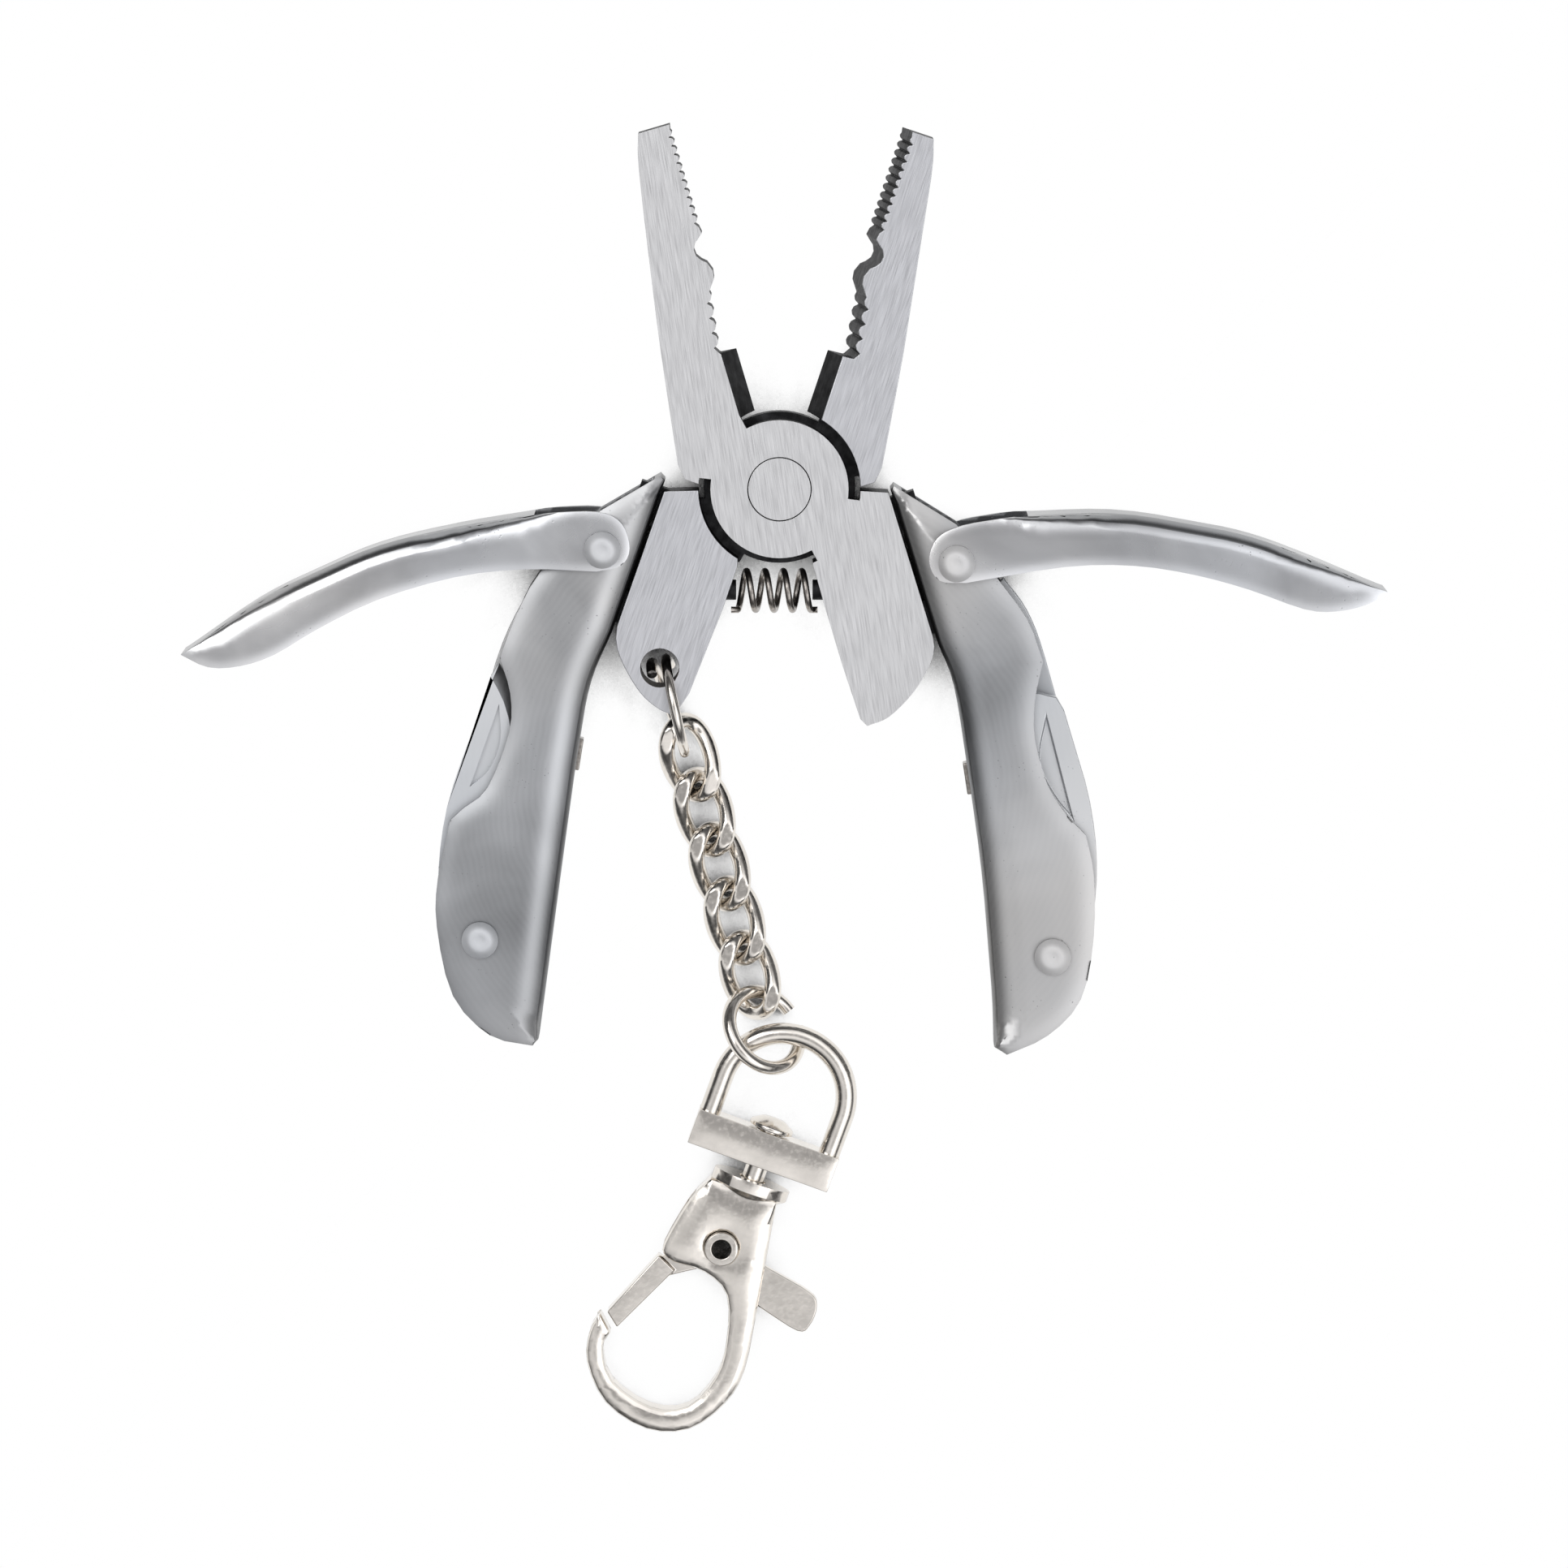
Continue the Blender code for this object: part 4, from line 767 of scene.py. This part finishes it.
def rivet_head(tree, start):
    """A head that lies on its rim: a dome with a flat middle and a setting mark."""
    head = add(tree, "GeometryNodeMeshCylinder", fill_type="TRIANGLE_FAN")
    set_inputs(head, Vertices=HEAD_SIDES, Fill_Segments=HEAD_RINGS)
    link = tree.links.new
    link(start.outputs["Head radius"], head.inputs["Radius"])
    link(start.outputs["Rim"], head.inputs["Depth"])
    position = add(tree, "GeometryNodeInputPosition")
    parts = add(tree, "ShaderNodeSeparateXYZ")
    link(position.outputs["Position"], parts.inputs["Vector"])
    squares = [sum_of(tree, "POWER", sum_of(tree, "ABSOLUTE", parts.outputs[k]), 2.0) for k in "XY"]
    reach = sum_of(tree, "SQRT", sum_of(tree, "ADD", *squares))
    share = sum_of(tree, "DIVIDE", reach, start.outputs["Head radius"])
    inward = sum_of(tree, "MULTIPLY", sum_of(tree, "SUBTRACT", 1.0, share), DOME_SLOPE)
    slope = sum_of(tree, "MINIMUM", inward, 1.0)
    round_off = sum_of(tree, "SINE", sum_of(tree, "MULTIPLY", slope, math.pi / 2))
    dome = sum_of(tree, "MULTIPLY", round_off, start.outputs["Crown"])
    bowl = sum_of(tree, "POWER", sum_of(tree, "MULTIPLY", share, DIMPLE_SLOPE), 2.0)
    hollow = sum_of(tree, "MAXIMUM", sum_of(tree, "SUBTRACT", 1.0, bowl), 0.0)
    mark = sum_of(tree, "MULTIPLY", hollow, start.outputs["Dimple"])
    upper = sum_of(tree, "GREATER_THAN", parts.outputs["Z"], 0.0)
    lift = add(tree, "ShaderNodeCombineXYZ")
    link(sum_of(tree, "MULTIPLY", sum_of(tree, "SUBTRACT", dome, mark), upper), lift.inputs["Z"])
    move = add(tree, "GeometryNodeSetPosition")
    link(head.outputs["Mesh"], move.inputs["Geometry"])
    link(lift.outputs["Vector"], move.inputs["Offset"])
    return move.outputs["Geometry"]


def rivet_ends(tree, start):
    """The two points where the heads sit."""
    half_rim = sum_of(tree, "MULTIPLY", start.outputs["Rim"], 0.5)
    seat = sum_of(tree, "ADD", start.outputs["Seat"], half_rim)
    ends = add(tree, "GeometryNodeMeshLine")
    set_inputs(ends, Count=2)
    for factor, label in ((-1.0, "Start Location"), (2.0, "Offset")):
        place = add(tree, "ShaderNodeCombineXYZ")
        tree.links.new(sum_of(tree, "MULTIPLY", seat, factor), place.inputs["Z"])
        tree.links.new(place.outputs["Vector"], ends.inputs[label])
    return ends.outputs["Mesh"]


def rivet_tree():
    """A rivet along Z: a shank and a domed head with a setting mark at each end."""
    tree, start, end = node_tree("Domed rivet", [
        ("NodeSocketGeometry", "Geometry"), ("NodeSocketFloat", "Head radius"), ("NodeSocketFloat", "Rim"),
        ("NodeSocketFloat", "Crown"), ("NodeSocketFloat", "Dimple"), ("NodeSocketFloat", "Shank radius"),
        ("NodeSocketFloat", "Seat"), ("NodeSocketMaterial", "Material")])
    link = tree.links.new
    copies = add(tree, "GeometryNodeInstanceOnPoints")
    link(rivet_ends(tree, start), copies.inputs["Points"])
    link(rivet_head(tree, start), copies.inputs["Instance"])
    index = add(tree, "GeometryNodeInputIndex")
    first = sum_of(tree, "SUBTRACT", 1.0, index.outputs["Index"])
    flip = add(tree, "ShaderNodeCombineXYZ")
    link(sum_of(tree, "MULTIPLY", first, math.pi), flip.inputs["X"])
    link(flip.outputs["Vector"], copies.inputs["Rotation"])
    shank = add(tree, "GeometryNodeMeshCylinder")
    set_inputs(shank, Vertices=SHANK_SIDES)
    link(start.outputs["Shank radius"], shank.inputs["Radius"])
    link(sum_of(tree, "MULTIPLY", start.outputs["Seat"], 2.0), shank.inputs["Depth"])
    join = add(tree, "GeometryNodeJoinGeometry")
    link(copies.outputs["Instances"], join.inputs["Geometry"])
    link(shank.outputs["Mesh"], join.inputs["Geometry"])
    end_tree(tree, start, end, join.outputs["Geometry"])
    return tree


def grown(make, data, **values):
    """A mesh made by a Geometry Nodes tree on the given data, with the tree's inputs set by name."""
    tree = shared(make)
    obj = new_object("grown", data)
    modifier = obj.modifiers.new("shape", "NODES")
    modifier.node_group = tree
    sockets = {s.name: s.identifier for s in tree.interface.items_tree if s.in_out == "INPUT"}
    for label, value in values.items():
        modifier[sockets[label.replace("_", " ").capitalize()]] = value
    return evaluated_mesh(obj)


def path(points, cyclic=False):
    """A curve through the points."""
    curve = bpy.data.curves.new("path", "CURVE")
    curve.dimensions = "3D"
    line = curve.splines.new("POLY")
    line.points.add(len(points) - 1)
    for slot, point in zip(line.points, points):
        slot.co = (*point, 1)
    line.use_cyclic_u = cyclic
    return curve


def wire_mesh(points, diameter, slot, cyclic=False, flat=1.0):
    """A wire through the points, cut flat above and below a level."""
    shape, _, _ = settings()
    return grown(wire_tree, path(points, cyclic), radius=diameter / 2, sides=shape.wire_sides,
                 flat_level=flat, material=finish(slot))


def place_wire(name, mesh, node, place, sharp=WIRE_SHARP):
    """A finished wire of the chain or clasp, moved to its place."""
    mesh.transform(place)
    mesh.set_sharp_from_angle(angle=math.radians(sharp))
    place_piece(name, mesh, node, "nickel_plate")


def node_middle(node):
    low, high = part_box(node)
    return (low + high) / 2


# Operators


class PLIERS_OT_halves(bpy.types.Operator):
    """Builds the two plier halves and the flush pivot"""

    bl_idname = "pliers.halves"
    bl_label = "Plier halves"

    def execute(self, context):
        shape, _, _ = settings()
        rounded_piece("front_jaw_half", "plier_steel", shape.plate_round)
        # The rear half takes the darker copy of the plier steel, as painted shade.
        rounded_piece("rear_jaw_half", "plier_steel", shape.plate_round, finish("shaded_rear_plier_steel"))
        rounded_piece("pivot_rivet", "plier_steel", shape.plate_round * PIVOT_SHARE)
        return {"FINISHED"}


class PLIERS_OT_spring(bpy.types.Operator):
    """Builds the coil spring between the tangs"""

    bl_idname = "pliers.spring"
    bl_label = "Jaw spring"

    turns: FloatProperty(name="Turns", description="Turns of the coil", default=4.0, min=1)

    def execute(self, context):
        shape, _, _ = settings()
        low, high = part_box("jaw_spring")
        middle = (low + high) / 2
        radius = (high.z - low.z - shape.spring_wire) / 2
        first, last = low.x + shape.spring_wire, high.x - shape.spring_wire
        steps = int(self.turns * COIL_STEPS)
        points = [(low.x, middle.y - radius, middle.z)]
        for k in range(steps + 1):
            a = math.pi + 2 * math.pi * self.turns * k / steps
            points.append((first + (last - first) * k / steps, middle.y + radius * math.cos(a),
                           middle.z + radius * math.sin(a)))
        points.append((high.x, middle.y - radius, middle.z))
        mesh = wire_mesh(points, shape.spring_wire, "spring_steel")
        coil = place_piece("jaw_spring_finish", mesh, "jaw_spring", "spring_steel")
        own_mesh(coil)
        return {"FINISHED"}


class PLIERS_OT_handles(bpy.types.Operator):
    """Builds the folded handles with the spacers and leaf springs inside them"""

    bl_idname = "pliers.handles"
    bl_label = "Handles"

    def execute(self, context):
        shape, _, _ = settings()
        for side in ("left", "right"):
            pins = [node_middle(f"{side}_cover_rivet"), node_middle(f"{side}_tool_rivet")]
            rounded_piece(f"{side}_handle", "handle_sheet", shape.sheet_round,
                          drawn=(*HANDLE_DRAW, pins, HANDLE_PIN_REACH))
            rounded_piece(f"{side}_leaf_spring", "spring_steel", shape.tool_round)
            rounded_piece(f"{side}_sleeve", "handle_sheet", shape.tool_round)
            rounded_piece(f"{side}_tool_washer", "handle_sheet", shape.tool_round * WASHER_SHARE)
        return {"FINISHED"}


class PLIERS_OT_covers(bpy.types.Operator):
    """Builds the two curved covers"""

    bl_idname = "pliers.covers"
    bl_label = "Covers"

    def execute(self, context):
        shape, _, _ = settings()
        for side in ("left", "right"):
            pins = [node_middle(f"{side}_cover_rivet")]
            rounded_piece(f"{side}_cover", "cover_sheet", shape.sheet_round,
                          drawn=(*COVER_DRAW, pins, COVER_PIN_REACH))
        return {"FINISHED"}


class PLIERS_OT_rivets(bpy.types.Operator):
    """Builds the domed rivets of the covers and tools"""

    bl_idname = "pliers.rivets"
    bl_label = "Rivets"

    shank: length("Shank radius", "Radius of a rivet's shank", 0.0011)
    rim: length("Rim", "Straight height of a head's rim", 0.00025)

    def execute(self, context):
        shape, _, _ = settings()
        for node in ("left_cover_rivet", "right_cover_rivet", "left_tool_rivet", "right_tool_rivet"):
            low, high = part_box(node)
            seat = (high.z - low.z) / 2 - self.rim - shape.rivet_crown
            mesh = grown(rivet_tree, bpy.data.meshes.new("rivet"), head_radius=(high.x - low.x) / 2,
                         rim=self.rim, crown=shape.rivet_crown, dimple=shape.rivet_dimple,
                         shank_radius=self.shank, seat=seat, material=finish("rivet_metal"))
            mesh.transform(Matrix.Translation(node_middle(node)))
            mesh.set_sharp_from_angle(angle=math.radians(WIRE_SHARP))
            place_piece(f"{node}_finish", mesh, node, "rivet_metal")
        return {"FINISHED"}


class PLIERS_OT_tools(bpy.types.Operator):
    """Builds the folding tools"""

    bl_idname = "pliers.tools"
    bl_label = "Folding tools"

    def execute(self, context):
        shape, _, _ = settings()
        for node in ("knife_blade", "nail_file", "bottle_opener", "screwdriver"):
            rounded_piece(node, "blade_steel", shape.tool_round)
        return {"FINISHED"}


class PLIERS_OT_chain(bpy.types.Operator):
    """Builds the key loop, the twisted links and the jump ring"""

    bl_idname = "pliers.chain"
    bl_label = "Chain"

    link_long: length("Link length", "Half length of a link to the middle of its wire", 0.0034)
    link_wide: length("Link width", "Half width of a link to the middle of its wire", 0.0019)
    link_twist: length("Link twist", "Rise of the wire where a link twists", 0.0009)
    links: IntProperty(name="Links", description="Number of links", default=5, min=1)

    def link(self, shape, n):
        node = f"chain_link_{n}"
        points = []
        for k in range(LINK_STEPS):
            a = 2 * math.pi * k / LINK_STEPS
            points.append((self.link_long * math.cos(a), self.link_wide * math.sin(a),
                           self.link_twist * math.sin(2 * a)))
        mesh = wire_mesh(points, shape.link_wire, "nickel_plate", True, shape.link_flat)
        place = Matrix.Translation(node_middle(node)) @ CHAIN_TURN
        rise = Matrix.Rotation(FIRST_LINK_RISE if n == 1 else 0, 4, "Y")
        place_wire(f"{node}_finish", mesh, node, place @ rise, LINK_SHARP)

    def execute(self, context):
        shape, _, _ = settings()
        for n in range(1, self.links + 1):
            self.link(shape, n)
        self.loop(shape)
        self.ring(shape)
        return {"FINISHED"}

    def loop(self, shape):
        points = []
        for k in range(LOOP_STEPS + 1):
            share = LOOP_TURNS * (k / LOOP_STEPS - 0.5)
            a = 2 * math.pi * share
            points.append((LOOP_R * math.cos(a), LOOP_STEP * share, LOOP_R * math.sin(a)))
        mesh = wire_mesh(points, shape.loop_wire, "nickel_plate")
        place_wire("key_loop_finish", mesh, "key_loop", Matrix.Translation(LOOP_AT) @ CHAIN_TURN)

    def ring(self, shape):
        points = []
        for k in range(RING_STEPS + 1):
            a = RING_GAP_AT + RING_GAP / 2 + (2 * math.pi - RING_GAP) * k / RING_STEPS
            points.append((RING_R * math.cos(a), RING_R * math.sin(a), 0))
        mesh = wire_mesh(points, shape.ring_wire, "nickel_plate")
        place_wire("jump_ring_finish", mesh, "jump_ring", RING_PLACE)


class PLIERS_OT_clasp(bpy.types.Operator):
    """Builds the swivel clasp with its gate"""

    bl_idname = "pliers.clasp"
    bl_label = "Swivel clasp"

    def execute(self, context):
        shape, _, _ = settings()
        self.d_ring(shape)
        rounded_piece("hook_body", "nickel_plate", shape.cast_round * HOOK_SHARE, angle=CAST_ANGLE,
                      place=CLASP_PLACE, crowned=(shape.cast_reach, shape.cast_drop))
        rounded_piece("gate", "nickel_plate", shape.cast_round * GATE_SHARE, angle=CAST_ANGLE,
                      weld=CAST_WELD, clamp=False)
        rounded_piece("swivel_pin", "nickel_plate", shape.cast_round * PIN_SHARE)
        rounded_piece("eyelet", "nickel_plate", shape.cast_round * EYELET_SHARE)
        rounded_piece("gate_spring", "spring_steel", GATE_SPRING_ROUND)
        return {"FINISHED"}

    def d_ring(self, shape):
        side = [(-D_RING_R, 0, 0), (-D_RING_R, D_RING_SHOULDER / 2, 0)]
        arch = [(-D_RING_R * math.cos(a), D_RING_SHOULDER + D_RING_R * math.sin(a), 0)
                for a in (math.pi * k / ARCH_STEPS for k in range(ARCH_STEPS + 1))]
        other = [(-x, y, z) for x, y, z in reversed(side)]
        mesh = wire_mesh(side + arch + other, shape.d_ring_wire, "nickel_plate")
        place_wire("d_ring_loop_finish", mesh, "d_ring", CLASP_PLACE)
        rounded_piece("d_ring", "nickel_plate", shape.cast_round * BAR_SHARE, angle=BAR_ANGLE,
                      place=CLASP_PLACE, keep_below=(CLASP_PLACE, BAR_HALF), weld=CAST_WELD, crowned=BAR_CROWN)


class PLIERS_OT_stage(bpy.types.Operator):
    """Builds the pale table, the soft lights and the camera"""

    bl_idname = "pliers.stage"
    bl_label = "Stage"

    def execute(self, context):
        _, _, stage = settings()
        scene = context.scene
        scene.view_settings.view_transform = "Standard"
        self.table(stage)
        self.sky(scene)
        self.lamp("key light", KEY_AT, KEY_SIZE, stage.key)
        self.lamp("fill light", FILL_AT, FILL_SIZE, stage.fill)
        self.camera(scene, stage)
        return {"FINISHED"}

    def table(self, stage):
        half = stage.floor_size / 2
        mesh = bpy.data.meshes.new("table")
        corners = [(-half, -half, 0), (half, -half, 0), (half, half, 0), (-half, half, 0)]
        mesh.from_pydata(corners, [], [(0, 1, 2, 3)])
        mesh.transform(Matrix.Translation((0, 0, -TABLE_DROP)))
        mesh.materials.append(self.table_finish(stage))
        table = new_object("table", mesh)

    def table_finish(self, stage):
        """White where the camera or a reflection sees open table, shaded near the tool, and painted dark in
        deep gaps as painted shade.
        """
        material = bpy.data.materials.new("pale table")
        material.use_nodes = True
        tree = material.node_tree
        shader = tree.nodes["Principled BSDF"]
        set_inputs(shader, Roughness=0.9, Specular_IOR_Level=0)
        near = add(tree, "ShaderNodeAmbientOcclusion", samples=8)
        set_inputs(near, Distance=stage.shadow_reach)
        opened = spread(tree, near.outputs["AO"], *SHADOW_RANGE)
        # Painted shade: far from open sky the table's colour goes nearly black, in deep gaps under and between
        # the parts.
        far = add(tree, "ShaderNodeAmbientOcclusion", samples=16)
        set_inputs(far, Distance=stage.shadow_reach * GAP_REACH)
        clear = spread(tree, far.outputs["AO"], *GAP_RANGE)
        tone = blend_colour(tree, clear, scaled(stage.floor, GAP_SHADE_TONE), stage.floor)
        link = tree.links.new
        link(tone, shader.inputs["Base Color"])
        rays = add(tree, "ShaderNodeLightPath")
        seen = sum_of(tree, "MAXIMUM", rays.outputs["Is Camera Ray"], rays.outputs["Is Glossy Ray"])
        bright = sum_of(tree, "MULTIPLY", sum_of(tree, "MULTIPLY", seen, opened), clear)
        white = add(tree, "ShaderNodeEmission")
        both = add(tree, "ShaderNodeMixShader")
        link(bright, both.inputs["Fac"])
        link(shader.outputs["BSDF"], both.inputs[1])
        link(white.outputs["Emission"], both.inputs[2])
        link(both.outputs["Shader"], tree.nodes["Material Output"].inputs["Surface"])
        return material

    def sky(self, scene):
        """A studio of soft bands for the metal to reflect, and plain white for the camera."""
        world = bpy.data.worlds.new("studio")
        scene.world = world
        world.use_nodes = True
        tree = world.node_tree
        room = tree.nodes["Background"]
        vector = add(tree, "ShaderNodeTexCoord").outputs["Generated"]
        parts = add(tree, "ShaderNodeSeparateXYZ")
        link = tree.links.new
        link(vector, parts.inputs["Vector"])
        bands = add(tree, "ShaderNodeValToRGB")
        while len(bands.color_ramp.elements) < len(SKY_BANDS):
            bands.color_ramp.elements.new(0.5)
        for element, (at, level) in zip(bands.color_ramp.elements, SKY_BANDS):
            element.position = at
            element.color = (level, level, level * 1.02, 1)
        link(parts.outputs["Z"], bands.inputs["Fac"])
        side = spread(tree, parts.outputs["X"], *SKY_SIDES)
        shaded = add(tree, "ShaderNodeVectorMath", operation="SCALE")
        link(bands.outputs["Color"], shaded.inputs[0])
        link(side, shaded.inputs["Scale"])
        link(shaded.outputs["Vector"], room.inputs["Color"])
        white = add(tree, "ShaderNodeBackground")
        set_inputs(white, Color=(1, 1, 1, 1))
        rays = add(tree, "ShaderNodeLightPath")
        both = add(tree, "ShaderNodeMixShader")
        link(rays.outputs["Is Camera Ray"], both.inputs["Fac"])
        link(room.outputs["Background"], both.inputs[1])
        link(white.outputs["Background"], both.inputs[2])
        link(both.outputs["Shader"], tree.nodes["World Output"].inputs["Surface"])

    def lamp(self, name, at, size, power):
        light = bpy.data.lights.new(name, "AREA")
        light.shape = "SQUARE"
        light.size = size
        light.energy = power
        obj = new_object(name, light)
        obj.location = at
        obj.rotation_euler = (-Vector(at)).to_track_quat("-Z", "Y").to_euler()

    def camera(self, scene, stage):
        data = bpy.data.cameras.new("camera")
        data.sensor_fit = "AUTO"
        data.angle = 2 * math.atan(stage.width / 2 / stage.distance)
        camera = new_object("camera", data)
        target = Vector((0, 0, sum(c[2] for c in CAD_BOX) / 2))
        back = Vector((0, math.sin(stage.tilt), math.cos(stage.tilt)))
        camera.location = target + back * stage.distance
        up = Vector((0, math.cos(stage.tilt), -math.sin(stage.tilt)))
        camera.matrix_world = Matrix.Translation(camera.location) @ Matrix(
            (Vector((1, 0, 0)), up, back)).transposed().to_4x4()
        scene.camera = camera


class PLIERS_PT_panel(bpy.types.Panel):
    """Lists the steps that build the tool's looks"""

    bl_idname = "PLIERS_PT_panel"
    bl_label = "Pocket pliers"
    bl_space_type = "VIEW_3D"
    bl_region_type = "UI"
    bl_category = "Pocket pliers"

    def draw(self, context):
        for operator in OPERATORS:
            self.layout.operator(operator.bl_idname)
        for holder in settings():
            box = self.layout.box()
            for name in holder.bl_rna.properties.keys():
                if name not in ("rna_type", "name"):
                    box.prop(holder, name)


OPERATORS = (PLIERS_OT_halves, PLIERS_OT_spring, PLIERS_OT_handles, PLIERS_OT_covers, PLIERS_OT_rivets,
             PLIERS_OT_tools, PLIERS_OT_chain, PLIERS_OT_clasp, PLIERS_OT_stage)
CLASSES = (ShapeSettings, FinishSettings, StageSettings, *OPERATORS, PLIERS_PT_panel)


def register():
    for cls in CLASSES:
        bpy.utils.register_class(cls)
    bpy.types.Scene.pliers_shape = PointerProperty(type=ShapeSettings)
    bpy.types.Scene.pliers_finish = PointerProperty(type=FinishSettings)
    bpy.types.Scene.pliers_stage = PointerProperty(type=StageSettings)


def unregister():
    for name in ("pliers_shape", "pliers_finish", "pliers_stage"):
        delattr(bpy.types.Scene, name)
    for cls in reversed(CLASSES):
        bpy.utils.unregister_class(cls)


def main():
    register()
    for operator in OPERATORS:
        group_name, call = operator.bl_idname.split(".")
        getattr(getattr(bpy.ops, group_name), call)()


if __name__ == "__main__":
    main()
